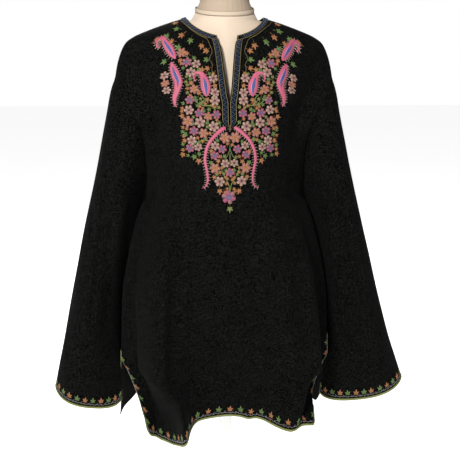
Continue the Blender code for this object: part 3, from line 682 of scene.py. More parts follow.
# The two panels. Each slit's corner at the hem moves in and back by "corner"; "roll" is how far
# the cloth beside it rolls out
FRONT = {
    "sign": -1.0,
    "slit": True,
    "neck_depth": NECK_FRONT_DEPTH,
    "neck_drop": NECK_FRONT_DROP,
    "edge": FRONT_EDGE,
    "centre": FRONT_CENTRE,
    "folds": FRONT_FOLDS,
    "hem": FRONT_HEM,
    "corner": {-1: (0.000, 0.000), 1: (0.012, 0.006)},
    "roll": {-1: 0.0, 1: 0.017},
}
BACK = {
    "sign": 1.0,
    "slit": False,
    "neck_depth": NECK_BACK_DEPTH,
    "neck_drop": NECK_BACK_DROP,
    "edge": BACK_EDGE,
    "centre": BACK_CENTRE,
    "folds": BACK_FOLDS,
    "hem": BACK_HEM,
    "corner": {-1: (0.000, 0.000), 1: (0.0095, 0.010)},
    "roll": {-1: 0.0, 1: 0.0},
}


def panel_faces(flip):
    """Four-sided faces of half a panel; its first rows of faces end at the shoulder."""
    faces = []
    for j in range(HEM_ROW):
        for i in range(HALF_COLUMNS if j >= BAND_ROWS else NECK_COLUMN):
            a = j * (HALF_COLUMNS + 1) + i
            face = (a, a + HALF_COLUMNS + 1, a + HALF_COLUMNS + 2, a + 1)
            faces.append(face[::-1] if flip else face)
    return faces


def panel_sheet(panel):
    """Points and outward faces of a whole panel, left half first, joined down the centre."""
    left = half_panel(panel, -1)
    right = half_panel(panel, 1)
    count = left.shape[0] * left.shape[1]
    faces = panel_faces(panel["sign"] < 0)
    first = CHEST_ROW if panel["slit"] else 0
    middle = [j * (HALF_COLUMNS + 1) for j in range(first, HEM_ROW + 1)]
    joined = {count + v: v for v in middle}
    for face in panel_faces(panel["sign"] > 0):
        faces.append(tuple(joined.get(v + count, v + count) for v in face))
    points = np.concatenate([left.reshape(-1, 3), right.reshape(-1, 3)])
    return points, faces


def sleeve_fold_depth(degrees, share):
    """How far the folds move a sleeve's cloth out, at angles round it and a share of its length."""
    depth = np.zeros_like(degrees)
    for _, top, cuff, start, peak, deep, end, width in SLEEVE_FOLDS:
        if share <= start:
            continue
        rise = min((share - start) / (peak - start), 1.0)
        late = max((share - peak) / (1.0 - peak), 0.0)
        amount = deep * rise * rise * (3 - 2 * rise) + (end - deep) * late
        gap = (degrees - top - (cuff - top) * share + 180.0) % 360.0 - 180.0
        depth += amount * np.exp(-0.5 * (gap / width) ** 2)
    return depth


def sleeve_ring(side, share, angle):
    """One ring of a sleeve, a tilted oval with its folds."""
    row = [smooth_curve(SLEEVE, share, column) for column in range(1, 9)]
    x_out, z_out, x_in, z_in, y_front, y_back, drop, y_under = row
    lean = SLEEVE_LEAN[side]
    x_out = x_out + lean[0] * share + lean[1] * share ** 2
    tuck = (1.0 - math.exp(-share / TUCK_START)) * math.exp(-(share / TUCK_REACH) ** 2)
    x_in = x_in - SLEEVE_TUCK[side] * tuck
    x_in = x_in - CUFF_TUCK[side] * max((share - CUFF_TUCK_START) / 0.4, 0.0) ** CUFF_TUCK_GROWTH
    turn = np.cos(angle)
    spread = np.sin(angle)
    x = (x_out + x_in) / 2 + (x_out - x_in) / 2 * turn
    z = (z_out + z_in) / 2 + (z_out - z_in) / 2 * turn - drop * np.clip(spread, 0.0, 1.0)
    y = np.where(spread > 0, y_front, y_back) * np.abs(spread) ** SLEEVE_FULLNESS
    y = y + y_under * (1.0 - turn) / 2
    along = np.array([x_out - x_in, 0.0, z_out - z_in])
    along /= np.linalg.norm(along)
    out = turn[:, None] * along + spread[:, None] * np.array([0.0, -1.0, 0.0])
    ring = np.stack([x, y, z], axis=1) + out * sleeve_fold_depth(np.degrees(angle), share)[:, None]
    ring[:, 0] *= side
    return ring


def sleeve_sheet(side, loop):
    """Points and faces of a sleeve; its first ring lies on the armhole edge of the panels."""
    count = len(loop)
    angle = np.linspace(0.0, 2 * math.pi, count, endpoint=False)
    share = np.linspace(0.0, 1.0, SLEEVE_ROWS + 1)
    rings = np.array([sleeve_ring(side, v, angle) for v in share])
    fade = soft(np.clip(1.0 - share / SLEEVE_BLEND, 0.0, 1.0))
    rings = rings + (loop - rings[0]) * fade[:, None, None]
    faces = []
    for k in range(SLEEVE_ROWS):
        for m in range(count):
            n = (m + 1) % count
            face = (k * count + m, (k + 1) * count + m, (k + 1) * count + n, k * count + n)
            faces.append(face[::-1] if side > 0 else face)
    return rings.reshape(-1, 3), faces


def crease_depth(creases, u, v):
    """How far fine creases move the cloth out at spots of a panel or sleeve."""
    total = np.zeros_like(u)
    for points, width, depth in creases:
        table = [(i / (len(points) - 1), *p) for i, p in enumerate(points)]
        run = np.linspace(0.0, 1.0, 40)
        line = np.stack([smooth_curve(table, run, 1), smooth_curve(table, run, 2)], axis=1)
        nearest = np.full(u.shape, np.inf)
        place = np.zeros_like(u)
        for (ax, ay), (bx, by), t in zip(line, line[1:], run):
            long = (bx - ax) ** 2 + (by - ay) ** 2
            f = np.clip(((u - ax) * (bx - ax) + (v - ay) * (by - ay)) / long, 0.0, 1.0)
            gap = (u - ax - f * (bx - ax)) ** 2 + (v - ay - f * (by - ay)) ** 2
            place = np.where(gap < nearest, t + f / 39, place)
            nearest = np.minimum(nearest, gap)
        ends = np.sin(np.clip(place, 0.02, 0.98) * math.pi) ** 0.6
        total += depth * ends * np.exp(-0.5 * nearest / width ** 2)
    return total * CREASE_FULL


def unevenness(u, v, seed):
    """The cloth's own soft unevenness, about a millimetre, from a few slow waves."""
    rng = np.random.default_rng(seed)
    total = np.zeros_like(u)
    for length in WAVE_LENGTHS:
        angle = rng.uniform(-0.5, 0.5)
        wave = (u * math.cos(angle) + v * 0.35 * math.sin(angle)) * 2 * math.pi / length
        drift = (v * 2 * math.pi / (length * 2.6)) + rng.uniform(0, 6.3)
        total += np.sin(wave + rng.uniform(0, 6.3)) * np.sin(drift) * length * WAVE_DEPTH
    return total


def crease_panel(panel, sheet, normals, creases, seed):
    """Work the fine creases and the sunk seam lines into a panel, whose edges stay in place."""
    for grid, normal in zip(halves(sheet[0]), halves(normals)):
        rows = np.arange(HEM_ROW + 1)[:, None]
        columns = np.arange(HALF_COLUMNS + 1)[None, :]
        down = np.clip((rows - BAND_ROWS - 2) / CALM_TOP, 0.0, 1.0)
        out = np.clip((HALF_COLUMNS - columns) / CALM_EDGE, 0.0, 1.0)
        free = np.clip((rows - SLIT_ROW) / CALM_SLIT, 0.0, 1.0)
        calm = down * np.maximum(out, free * 0.5)
        if panel["slit"]:
            beside = np.clip((columns - BAND_COLUMNS) / CALM_BAND, 0.0, 1.0)
            calm = calm * np.where(rows <= BAND_END_ROW, beside, 1.0)
        calm = soft(calm)
        depth = crease_depth(creases, grid[..., 0], grid[..., 2])
        depth = depth + unevenness(grid[..., 0], grid[..., 2], seed)
        seam = np.exp(-0.5 * ((HALF_COLUMNS - columns - 0.8) / 0.9) ** 2)
        sink = seam * (rows <= SLIT_ROW) * (rows > BAND_ROWS + 2) * (columns < HALF_COLUMNS)
        grid += normal * (depth * calm - SEAM_SINK * sink)[..., None]
        grid[CHEST_ROW:, 0, 0] = 0.0


def crease_sleeve(side, sheet, normals):
    """Work the fine creases and the sunk armhole seam into a sleeve."""
    count = len(sheet[0]) // (SLEEVE_ROWS + 1)
    share = np.repeat(np.linspace(0.0, 1.0, SLEEVE_ROWS + 1), count)
    degrees = np.tile(np.linspace(0.0, 360.0, count, endpoint=False), SLEEVE_ROWS + 1)
    turn = SLEEVE_CREASE_TURN * side
    table = []
    for points, width, depth in SLEEVE_CREASES:
        flat = [(math.radians(a + turn) * SLEEVE_GIRTH, b * SLEEVE_LENGTH) for a, b in points]
        table.append((flat, width, depth))
    u = np.radians(degrees) * SLEEVE_GIRTH
    depth = crease_depth(table, u, share * SLEEVE_LENGTH)
    calm = soft(np.clip((share - 0.03) / 0.08, 0.0, 1.0))
    wave_u = np.sin(np.radians(degrees)) * SLEEVE_WAVE_RADIUS
    wave = unevenness(wave_u, share * SLEEVE_LENGTH, 5 + side)
    seam = np.exp(-0.5 * ((share * SLEEVE_ROWS - 1.6) / 0.9) ** 2)
    sheet[0][:] += normals * ((depth + wave) * calm - SEAM_SINK * 0.7 * seam)[:, None]


def shared_normals(sheets):
    """Outward direction at each point of each sheet, averaged where sheets meet."""
    points = np.concatenate([sheet[0] for sheet in sheets])
    _, same = np.unique(np.round(points, 6), axis=0, return_inverse=True)
    same = same.ravel()
    total = np.zeros((same.max() + 1, 3))
    start = 0
    for own, faces in sheets:
        corners = np.array(faces)
        p = own[corners]
        normal = np.cross(p[:, 2] - p[:, 0], p[:, 3] - p[:, 1])
        for c in range(4):
            np.add.at(total, same[start + corners[:, c]], normal)
        start += len(own)
    total /= np.maximum(np.linalg.norm(total, axis=1), 1e-12)[:, None]
    out = []
    start = 0
    for own, _ in sheets:
        out.append(total[same[start:start + len(own)]])
        start += len(own)
    return out


def thick_sheet(points, faces, normals, thickness):
    """Closed shell between a sheet and its copy moved inwards."""
    corners = np.array(faces)
    used = np.unique(corners)
    index = np.zeros(len(points), dtype=int)
    index[used] = np.arange(len(used))
    outer = points[used]
    inner = outer - normals[used] * thickness
    corners = index[corners]
    count = len(used)
    edges = {}
    for face in corners.tolist():
        for a, b in zip(face, face[1:] + face[:1]):
            edges[(a, b)] = True
    walls = [(b, a, a + count, b + count) for a, b in edges if (b, a) not in edges]
    solid = corners.tolist() + (corners[:, ::-1] + count).tolist() + walls
    return np.concatenate([outer, inner]), solid


def halves(values):
    """A panel's points or normals as its two grids."""
    shape = (HEM_ROW + 1, HALF_COLUMNS + 1, 3)
    count = shape[0] * shape[1]
    return values[:count].reshape(shape), values[count:].reshape(shape)


def seat_panel(panel, points, normals):
    """Move ridge and side edges half a gap off the middle, with the edge walls square to it."""
    neck_end = (slice(0, BAND_ROWS), slice(NECK_COLUMN, NECK_COLUMN + 1))
    ridge = (slice(BAND_ROWS, BAND_ROWS + 1), slice(NECK_COLUMN, None))
    side_seam = (slice(UNDERARM_ROW, SLIT_ROW + 1), slice(HALF_COLUMNS, None))
    for grid, normal in zip(halves(points), halves(normals)):
        for part in (neck_end, ridge, side_seam):
            grid[part][..., 1] = panel["sign"] * SEAM_GAP / 2
            normal[part][..., 1] = 0.0
            normal[part] /= np.linalg.norm(normal[part], axis=-1)[..., None]
        if not panel["slit"]:
            normal[:, 0, 0] = 0.0


def meet_at_armhole(loop_normals, points, normals):
    """Match the edge walls of panel and sleeve where they lie flat, and part the two."""
    count = len(loop_normals)
    own = normals[:count].copy()
    match = np.sum(loop_normals * own, axis=1)
    alike = np.clip((match - SHARP_VALLEY) / (FLAT_SEAM - SHARP_VALLEY), 0.0, 1.0)[:, None]
    middle = loop_normals + own
    body = loop_normals + own * alike
    normals[:count] = own + loop_normals * alike
    body /= np.linalg.norm(body, axis=1)[:, None]
    normals[:count] /= np.linalg.norm(normals[:count], axis=1)[:, None]
    ring = points[:count].copy()
    along = np.roll(ring, -1, axis=0) - np.roll(ring, 1, axis=0)
    across = np.cross(along, middle)
    across /= np.linalg.norm(across, axis=1)[:, None]
    across[np.sum(across * (points[count:2 * count] - ring), axis=1) < 0] *= -1
    points[:count] = ring + across * SEAM_GAP
    return body


def armhole_loop(front, back):
    """The armhole edge of half a front and half a back, from the shoulder round to the shoulder."""
    edge = slice(BAND_ROWS, UNDERARM_ROW + 1)
    return np.concatenate([front[edge, -1], back[edge, -1][-2:0:-1]])


def set_armhole(front, back, loop):
    """Write values round the armhole back to the edges of the two panels."""
    rows = UNDERARM_ROW + 1 - BAND_ROWS
    front[BAND_ROWS:UNDERARM_ROW + 1, -1] = loop[:rows]
    back[UNDERARM_ROW:BAND_ROWS:-1, -1] = loop[rows - 1:]
    back[BAND_ROWS, -1] = loop[0]


# ---------------------------------------------------------------- materials

class Value:
    """A number in a material's graph that plain arithmetic works on."""

    def __init__(self, graph, socket):
        self.graph = graph
        self.socket = socket

    def math(self, operation, *others):
        made = self.graph.node("ShaderNodeMath", {"operation": operation})
        for i, value in enumerate((self,) + others):
            self.graph.feed(made.inputs[i], value)
        return Value(self.graph, made.outputs[0])

    def __add__(self, other):
        return self.math("ADD", other)

    def __mul__(self, other):
        return self.math("MULTIPLY", other)

    def __sub__(self, other):
        return self.math("SUBTRACT", other)

    def __truediv__(self, other):
        return self.math("DIVIDE", other)

    def __radd__(self, other):
        return self.math("ADD", other)

    def __rmul__(self, other):
        return self.math("MULTIPLY", other)

    def __rsub__(self, other):
        return (self * -1.0).math("ADD", other)

    def __rtruediv__(self, other):
        return self.math("POWER", -1.0) * other


class Graph:
    """The node graph of one material."""

    def __init__(self, name):
        self.material = bpy.data.materials.new(name)
        self.material.use_nodes = True
        self.tree = self.material.node_tree
        self.shader = self.tree.nodes["Principled BSDF"]

    def feed(self, socket, value):
        """Link a value of the graph to a socket, or set a plain one there."""
        if isinstance(value, Value):
            self.tree.links.new(value.socket, socket)
        elif isinstance(value, bpy.types.NodeSocket):
            self.tree.links.new(value, socket)
        else:
            socket.default_value = value

    def node(self, kind, settings=None, inputs=None):
        """A new node, with its settings and what its inputs get."""
        made = self.tree.nodes.new(kind)
        for name, value in (settings or {}).items():
            setattr(made, name, value)
        for name, value in (inputs or {}).items():
            self.feed(made.inputs[name], value)
        return made

    def noise(self, scale, detail=2.0):
        """Cloudy noise, with scale patches to a metre."""
        vector = self.node("ShaderNodeTexCoord").outputs["Object"]
        made = self.node(
            "ShaderNodeTexNoise", None, {"Vector": vector, "Scale": scale, "Detail": detail}
        )
        return Value(self, made.outputs["Fac"])

    def mix(self, share, first, second):
        """A colour between two, by a share."""
        made = self.node("ShaderNodeMix", {"data_type": "RGBA"})
        self.feed(made.inputs[0], share)
        self.feed(made.inputs[6], first)
        self.feed(made.inputs[7], second)
        return made.outputs[2]

    def bump(self, height, distance, strength):
        """A fine relief of the surface, from a height between 0 and 1."""
        made = self.node(
            "ShaderNodeBump", None, {"Height": height, "Distance": distance, "Strength": strength}
        )
        return made.outputs["Normal"]

    def set(self, **values):
        """Feed values to the shader's inputs of those names."""
        for name, value in values.items():
            self.feed(self.shader.inputs[name.replace("_", " ")], value)
        return self.material


def wool_material():
    """Black wool with a soft nap and a fine woven grain."""
    g = Graph("black wool")
    patch = g.noise(34.0, 3.0)
    nap = g.noise(440.0, 3.0)
    grain = g.noise(1500.0, 1.0)
    share = (patch * 0.08 + nap * 0.92 - 0.5) * 6.4 + 0.38
    share = share.math("MAXIMUM", 0.0).math("MINIMUM", 1.0)
    colour = g.mix(share, (0.0000, 0.0001, 0.0000, 1.0), (0.0050, 0.0052, 0.0047, 1.0))
    height = nap * 0.5 + grain * 0.5
    g.set(Base_Color=colour, Roughness=0.92, Normal=g.bump(height, 0.0016, 0.8))
    g.set(Specular_IOR_Level=0.02, Sheen_Weight=0.004, Sheen_Roughness=0.5)
    return g.material


def cover_material(name, low, high, weave):
    """Stretch cover of the form, a fine even knit."""
    g = Graph(name)
    knit = g.noise(weave, 1.0)
    share = g.noise(9.0, 2.0) * 0.7 + knit * 0.3
    colour = g.mix(share, (*low, 1.0), (*high, 1.0))
    g.set(Base_Color=colour, Roughness=0.8, Normal=g.bump(knit, 0.0004, 0.35))
    return g.material


def paint_material():
    """Satin white paint of the stand."""
    g = Graph("stand paint")
    fine = g.noise(160.0, 2.0)
    broad = g.noise(14.0, 2.0)
    colour = g.mix(broad, (0.80, 0.80, 0.78, 1.0), (0.86, 0.86, 0.85, 1.0))
    g.set(Base_Color=colour, Roughness=0.32 + fine * 0.10, Normal=g.bump(fine, 0.0002, 0.2))
    return g.material


# ---------------------------------------------------------------- pieces

def add_piece(name, points, faces, surface, slot, nodes=()):
    """One smooth piece that rides on the form."""
    mesh = bpy.data.meshes.new(name)
    mesh.from_pydata(np.asarray(points, dtype=float).tolist(), [], faces)
    mesh.update()
    mesh.materials.append(surface)
    mesh.polygons.foreach_set("use_smooth", [True] * len(mesh.polygons))
    piece = bpy.data.objects.new(name, mesh)
    bpy.context.scene.collection.objects.link(piece)
    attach(piece, "root")
    if nodes:
        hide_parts(*nodes)
    return piece


def build_cloth(wool):
    """The four cut pieces of cloth."""
    body = [panel_sheet(FRONT), panel_sheet(BACK)]
    body_normals = shared_normals(body)
    for panel, sheet, normals, creases, seed in (
        (FRONT, body[0], body_normals[0], FRONT_CREASES, 3),
        (BACK, body[1], body_normals[1], BACK_CREASES, 4),
    ):
        crease_panel(panel, sheet, normals, creases, seed)
    body_normals = shared_normals(body)
    sleeves = []
    for half, side in enumerate((-1, 1)):
        grids = [halves(sheet[0])[half] for sheet in body]
        grid_normals = [halves(normal)[half] for normal in body_normals]
        sleeve = sleeve_sheet(side, armhole_loop(*grids))
        crease_sleeve(side, sleeve, shared_normals([sleeve])[0])
        normals = shared_normals([sleeve])[0]
        loop = meet_at_armhole(armhole_loop(*grid_normals), sleeve[0], normals)
        set_armhole(*grid_normals, loop)
        sleeves.append((sleeve, normals))
    for panel, sheet, normals in zip((FRONT, BACK), body, body_normals):
        seat_panel(panel, sheet[0], normals)
    pieces = list(zip(body, body_normals)) + sleeves
    names = ("front_cloth", "back_cloth", "sleeve_cloth_right", "sleeve_cloth_left")
    nodes = ("front_panel", "back_panel", "sleeve_right", "sleeve_left")
    made = {}
    for name, node, ((points, faces), normals) in zip(names, nodes, pieces):
        solid = thick_sheet(points, faces, normals, CLOTH)
        piece = add_piece(name, *solid, wool, "black_wool", (node,))
        made[node] = (piece, points, faces, normals)
    return made


def band_spot(grid, j, i):
    """A grid value under the band, which narrows to a point below the slit."""
    share = 1.0
    if j > BAND_ROWS:
        fuller = 1.0 + (BAND_FULLER - 1.0) * min((j - BAND_ROWS) / (CHEST_ROW - BAND_ROWS), 1.0)
        narrow = min(max((BAND_END_ROW - j) / BAND_TIP_ROWS, 0.02), 1.0)
        share = fuller * narrow if i <= BAND_COLUMNS else 1.0
    across = i * share
    low = min(int(across), HALF_COLUMNS - 1)
    return grid[j, low] + (grid[j, low + 1] - grid[j, low]) * (across - low)


def build_band(cloth, surface):
    """The band round the neck and slit."""
    points = []
    faces = []
    directions = []
    for node, slit in (("front_panel", True), ("back_panel", False)):
        _, own, _, normals = cloth[node]
        for half in (0, 1):
            grid = halves(own)[half]
            normal = halves(normals)[half]
            index = {}
            flip = half == (0 if slit else 1)
            for j in range(BAND_END_ROW):
                for i in range(NECK_COLUMN):
                    inside = j < BAND_ROWS or (slit and i < BAND_COLUMNS)
                    if not inside:
                        continue
                    corner = ((j, i), (j + 1, i), (j + 1, i + 1), (j, i + 1))
                    for place in corner:
                        if place not in index:
                            index[place] = len(points)
                            points.append(band_spot(grid, *place))
                            directions.append(band_spot(normal, *place))
                    face = tuple(index[place] for place in corner)
                    faces.append(face[::-1] if flip else face)
    points = np.array(points)
    directions = np.array(directions)
    points[np.abs(points[:, 1]) < SEAM_GAP, 1] = 0.0
    _, first, same = np.unique(np.round(points, 6), axis=0, return_index=True, return_inverse=True)
    same = same.ravel()
    welded = [tuple(int(same[v]) for v in face) for face in faces]
    points = points[first]
    directions = directions[first]
    lifted = points + directions * BAND_LIFT
    solid = thick_sheet(lifted, welded, directions, BAND_CLOTH)
    return add_piece("neck_band_cloth", *solid, surface, "band_wool", ("neck_band",))


def ring_points(z, half_width, front, back, fullness, sides, slope=0.0):
    """Closed ring with its own depth in front and behind."""
    angle = np.linspace(0.0, 2 * math.pi, sides, endpoint=False)
    x = half_width * np.sign(np.cos(angle)) * np.abs(np.cos(angle)) ** (2.0 / fullness)
    y = np.sign(np.sin(angle)) * np.abs(np.sin(angle)) ** (2.0 / fullness)
    y *= np.where(np.sin(angle) > 0, back, front)
    return np.stack([x, y, z + slope * y], axis=1)


def loft(rings):
    """Closed solid through rings of equal count, from the lowest to the highest."""
    count = len(rings[0])
    points = np.concatenate(rings)
    faces = []
    for k in range(len(rings) - 1):
        for m in range(count):
            n = (m + 1) % count
            faces.append((k * count + m, k * count + n, (k + 1) * count + n, (k + 1) * count + m))
    last = (len(rings) - 1) * count
    faces.append(tuple(range(count))[::-1])
    faces.append(tuple(range(last, last + count)))
    return points, faces


def build_torso(surface):
    """The limbless form under the cloth, in its stretch cover."""
    rings = []
    for low, high in zip(FORM_RINGS, FORM_RINGS[1:]):
        for step in range(3):
            z = low[0] + (high[0] - low[0]) * step / 3
            row = [float(smooth_curve(FORM_RINGS, z, c)) for c in range(1, 5)]
            rings.append(ring_points(z, *row, FORM_SIDES))
    rings.append(ring_points(*FORM_RINGS[-1], FORM_SIDES))
    seam = (NECK_SEAM_HALF_WIDTH, NECK_SEAM_HALF_DEPTH, NECK_SEAM_HALF_DEPTH, 2.0)
    rings.append(ring_points(NECK_SEAM_Z, *seam, FORM_SIDES, NECK_SEAM_SLOPE))
    return add_piece("torso_cover", *loft(rings), surface, "form_cover", ("form_torso",))


def build_neck_seam(surface, name, rise, proud, height):
    """A thin round ring where the neck joins the form: a cloth binding, or a dark line of painted
    shade for the shadow in the seam's groove.
    """
    rings = []
    for k in range(BINDING_SIDES):
        turn = 2 * math.pi * k / BINDING_SIDES
        out = proud * (0.5 + 0.5 * math.cos(turn))
        ring = ring_points(
            NECK_SEAM_Z + rise + height / 2 * math.sin(turn),
            NECK_SEAM_HALF_WIDTH + out, NECK_SEAM_HALF_DEPTH + out, NECK_SEAM_HALF_DEPTH + out,
            2.0, FORM_SIDES, NECK_SEAM_SLOPE,
        )
        rings.append(ring)
    points = np.concatenate(rings)
    faces = []
    for k in range(BINDING_SIDES):
        for m in range(FORM_SIDES):
            a, b = k * FORM_SIDES, (k + 1) % BINDING_SIDES * FORM_SIDES
            n = (m + 1) % FORM_SIDES
            faces.append((a + m, a + n, b + n, b + m))
    return add_piece(name, points, faces, surface, "form_neck_cover")


# ---------------------------------------------------------------- charts and thread work

class Chart:
    """A flat chart over the cloth: points and outward directions at even steps of two rulers."""

    def __init__(self, points, start, step, outward):
        self.points = points
        self.start = np.array(start)
        self.step = np.array(step)
        normals = np.cross(np.gradient(points, axis=0), np.gradient(points, axis=1))
        facing = np.sum(normals * outward, axis=2)
        self.hand = 1 if np.median(facing) > 0 else -1
        long = np.linalg.norm(normals, axis=2)[..., None]
        self.normals = np.where(long > 1e-10, normals * self.hand / np.maximum(long, 1e-12), outward)

    def place(self, spots, height):
        """Spots of the chart, in metres, as points that stand height above the cloth."""
        f = (np.asarray(spots, dtype=float) - self.start) / self.step
        i = np.clip(np.floor(f).astype(int), 0, np.array(self.points.shape[:2]) - 2)
        f = (f - i)[..., None]
        a, b = f[:, 0], f[:, 1]
        found = []
        for grid in (self.points, self.normals):
            low = grid[i[:, 0], i[:, 1]] * (1 - a) + grid[i[:, 0] + 1, i[:, 1]] * a
            high = grid[i[:, 0], i[:, 1] + 1] * (1 - a) + grid[i[:, 0] + 1, i[:, 1] + 1] * a
            found.append(low * (1 - b) + high * b)
        return found[0] + found[1] * np.asarray(height)[:, None]


def edge_chart(lines, directions, reach):
    """A chart along an edge: one ruler runs along it, the other from it into the cloth."""
    inward = np.arange(0.0, reach + EDGE_STEP, EDGE_STEP)
    both = np.concatenate([lines, directions], axis=2)
    rows = np.array([resample(row, run_along(row[:, :3]), inward) for row in both])
    run = run_along(rows[:, 0, :3])
    wanted = np.linspace(0.0, run[-1], int(run[-1] / EDGE_RUN_STEP) + 2)
    flat = resample(rows.reshape(len(rows), -1), run, wanted).reshape(len(wanted), len(inward), 6)
    chart = Chart(flat[..., :3], (0.0, 0.0), (wanted[1], EDGE_STEP), flat[..., 3:])
    return chart, run[-1]


def yoke_chart(points, faces):
    """The chart of the yoke: out from the centre line, and down or up from the chest line."""
    tree = BVHTree.FromPolygons(points.tolist(), faces)
    out = np.arange(*YOKE_OUT, YOKE_STEP)
    down = np.arange(*YOKE_DOWN, YOKE_STEP)
    grid = np.full((len(out), len(down), 3), np.nan)
    ahead = np.zeros_like(grid)
    for i, x in enumerate(out):
        for j, fall in enumerate(down):
            lean = max(-fall, 0.0) / YOKE_RADIUS
            aim = Vector((0.0, math.cos(lean), -math.sin(lean)))
            start = Vector((x, 0.0, CHEST_Z - max(fall, 0.0))) - aim * 0.4
            hit = tree.ray_cast(start, aim)[0]
            ahead[i, j] = -aim
            if hit is not None:
                grid[i, j] = hit
    for j in range(len(down)):
        found = ~np.isnan(grid[:, j, 0])
        for c in range(3):
            grid[:, j, c] = np.interp(out, out[found], grid[found, j, c])
    return Chart(grid, (out[0], down[0]), (YOKE_STEP, YOKE_STEP), ahead)


def dye(red, green, blue):
    """A thread colour as seen, 0 to 255, in the numbers that a material works in."""
    share = np.array([red, green, blue]) / 255.0
    light = np.where(share > 0.04045, ((share + 0.055) / 1.055) ** 2.4, share / 12.92)
    return np.append(light * DYE_DEPTH, 1.0)


PINK = dye(196, 72, 108)
PALE_PINK = dye(228, 140, 166)
PAISLEY_PINK = dye(218, 92, 126)
CREAM = dye(206, 170, 142)
MAUVE = dye(158, 96, 98)
ORANGE = dye(184, 114, 48)
PEACH = dye(190, 122, 62)
GREEN = dye(118, 150, 56)
LEAF_GREEN = dye(86, 116, 40)
OLIVE = dye(140, 120, 60)
EDGE_GREEN = dye(140, 148, 62)
BLUE = dye(84, 118, 166)
DEEP_BLUE = dye(24, 40, 70)
HEART_BLUE = dye(44, 80, 158)
PALE = dye(228, 202, 180)
MAROON = dye(38, 12, 18)
PLUM = dye(118, 74, 110)
ROSE = dye(188, 108, 104)
SILVER = dye(186, 184, 192)

# Petal dyes of each kind of flower: inner, outer, every second outer, centre
FLOWER_DYES = {
    "rose": (PEACH, ROSE, MAUVE, ORANGE),
    "blue": (PLUM, PINK, ROSE, BLUE),
    "cream": (MAUVE, CREAM, CREAM, MAROON),
}
LEAF_DYES = {"orange": (ORANGE, PEACH), "green": (LEAF_GREEN, GREEN), "olive": (OLIVE, GREEN)}

# Half widths of a petal and of a leaf's lobe, from root to tip
PETAL_SHAPE = (0.42, 0.88, 1.0, 0.62)
LOBE_SHAPE = (0.70, 1.0, 0.66, 0.05)

# Lobes of a leaf: degrees off its heading, length, half width
LEAF_LOBES = (
    (0.0, 0.66, 0.20), (52.0, 0.52, 0.17), (-52.0, 0.52, 0.17), (112.0, 0.36, 0.14),
    (-112.0, 0.36, 0.14),
)

# The yoke's design, charted for one half in millimetres: out from the centre, down from
# the chest line. Flowers: out, down, size, kind
YOKE_FLOWERS = (
    (82, -90, 15, "rose"), (73, -72, 15, "blue"), (57, -67, 14, "cream"), (67, -54, 15, "cream"),
    (62, -22, 15, "rose"), (27, -41, 14, "cream"), (25, -16, 14, "cream"), (69, -2, 14, "blue"),
    (25, -1, 16, "cream"), (71, 15, 15, "cream"), (54, 20, 15, "blue"), (38, 26, 14, "rose"),
    (23, 21, 14, "blue"), (73, 35, 17, "rose"), (52, 36, 16, "cream"), (28, 43, 16, "cream"),
    (63, 51, 14, "blue"), (46, 54, 15, "rose"), (66, 67, 14, "cream"), (71, 82, 14, "blue"),
    (56, 79, 13, "cream"), (9, 62, 17, "rose"), (26, 76, 13, "cream"), (13, 81, 14, "blue"),
    (27, 92, 14, "blue"), (8, 106, 13, "cream"), (27, 115, 17, "rose"), (19, 138, 16, "cream"),
    (113, -54, 14, "cream"), (111, -39, 14, "rose"), (110, -24, 14, "cream"),
)
CENTRE_FLOWERS = ((0, 122, 15, "blue"), (-2, 166, 22, "blue"))

# Leaves: out, down, heading in degrees (0 out, 90 down), size, dye
YOKE_LEAVES = (
    (91, -154, -60, 11, "orange"), (89, -137, -10, 11, "green"), (81, -123, 40, 11, "orange"),
    (65, -110, 60, 11, "green"), (46, -101, 75, 11, "orange"), (37, -91, 30, 10, "orange"),
    (38, -75, 20, 10, "green"), (36, -60, 10, 10, "orange"),
    (128, -129, 200, 9, "orange"), (109, -126, -60, 11, "green"), (99, -114, -20, 10, "orange"),
    (88, -99, -50, 11, "green"), (112, -82, 20, 11, "green"),
    (72, -86, -30, 9, "orange"), (86, -79, 110, 9, "orange"), (46, -56, -20, 10, "orange"),
    (66, -35, 30, 9, "orange"), (24, -29, 60, 9, "orange"), (54, -14, -90, 9, "orange"),
    (40, -4, 100, 9, "orange"), (82, 26, 10, 9, "orange"), (78, 68, 30, 9, "orange"),
    (82, 91, 70, 9, "orange"), (55, 101, 80, 10, "orange"), (34, 84, 120, 8, "orange"),
    (21, 101, 80, 8, "orange"), (28, 129, 70, 8, "orange"), (17, 154, 100, 10, "orange"),
    (55, -57, 160, 9, "green"), (68, -43, 80, 8, "green"), (76, 57, 20, 9, "green"),
    (62, 94, 70, 9, "green"), (33, 104, 90, 9, "green"), (18, 34, 120, 8, "green"),
    (61, -76, -60, 8, "green"), (80, 4, -20, 7, "green"), (36, 12, 60, 8, "green"),
)
CENTRE_LEAVES = ((0, 186, 90, 11, "olive"),)

# Paisleys: points (out, down, half width), then whether it has a blue heart
YOKE_PAISLEYS = (
    (((120, -110, 0.8), (126, -116, 2.0), (126, -127, 3.0), (117, -128, 4.2), (111, -115, 6.2),
      (104, -102, 7.8), (98, -90, 6.4), (93, -81, 1.4)), True),
    (((101, -77, 1.4), (98, -65, 6.8), (93, -50, 8.6), (89, -37, 8.2), (92, -21, 6.2),
      (96, -6, 4.4), (96, 5, 2.4), (92, 10, 0.7)), True),
    (((59, -36, 0.8), (62, -45, 2.0), (57, -52, 3.0), (49, -50, 4.6), (44, -40, 7.4),
      (41, -27, 10.0), (40, -16, 7.4), (40, -9, 2.0)), True),
)

# Long tails beside the slit, points as above, with no heart
YOKE_TAILS = (
    ((7, 44, 1.6), (13, 47, 4.0), (24, 56, 3.5), (35, 69, 3.1), (42, 85, 2.9), (44, 101, 2.8),
     (41, 118, 2.5), (39, 135, 2.1), (44, 149, 1.2), (50, 151, 0.4)),
)

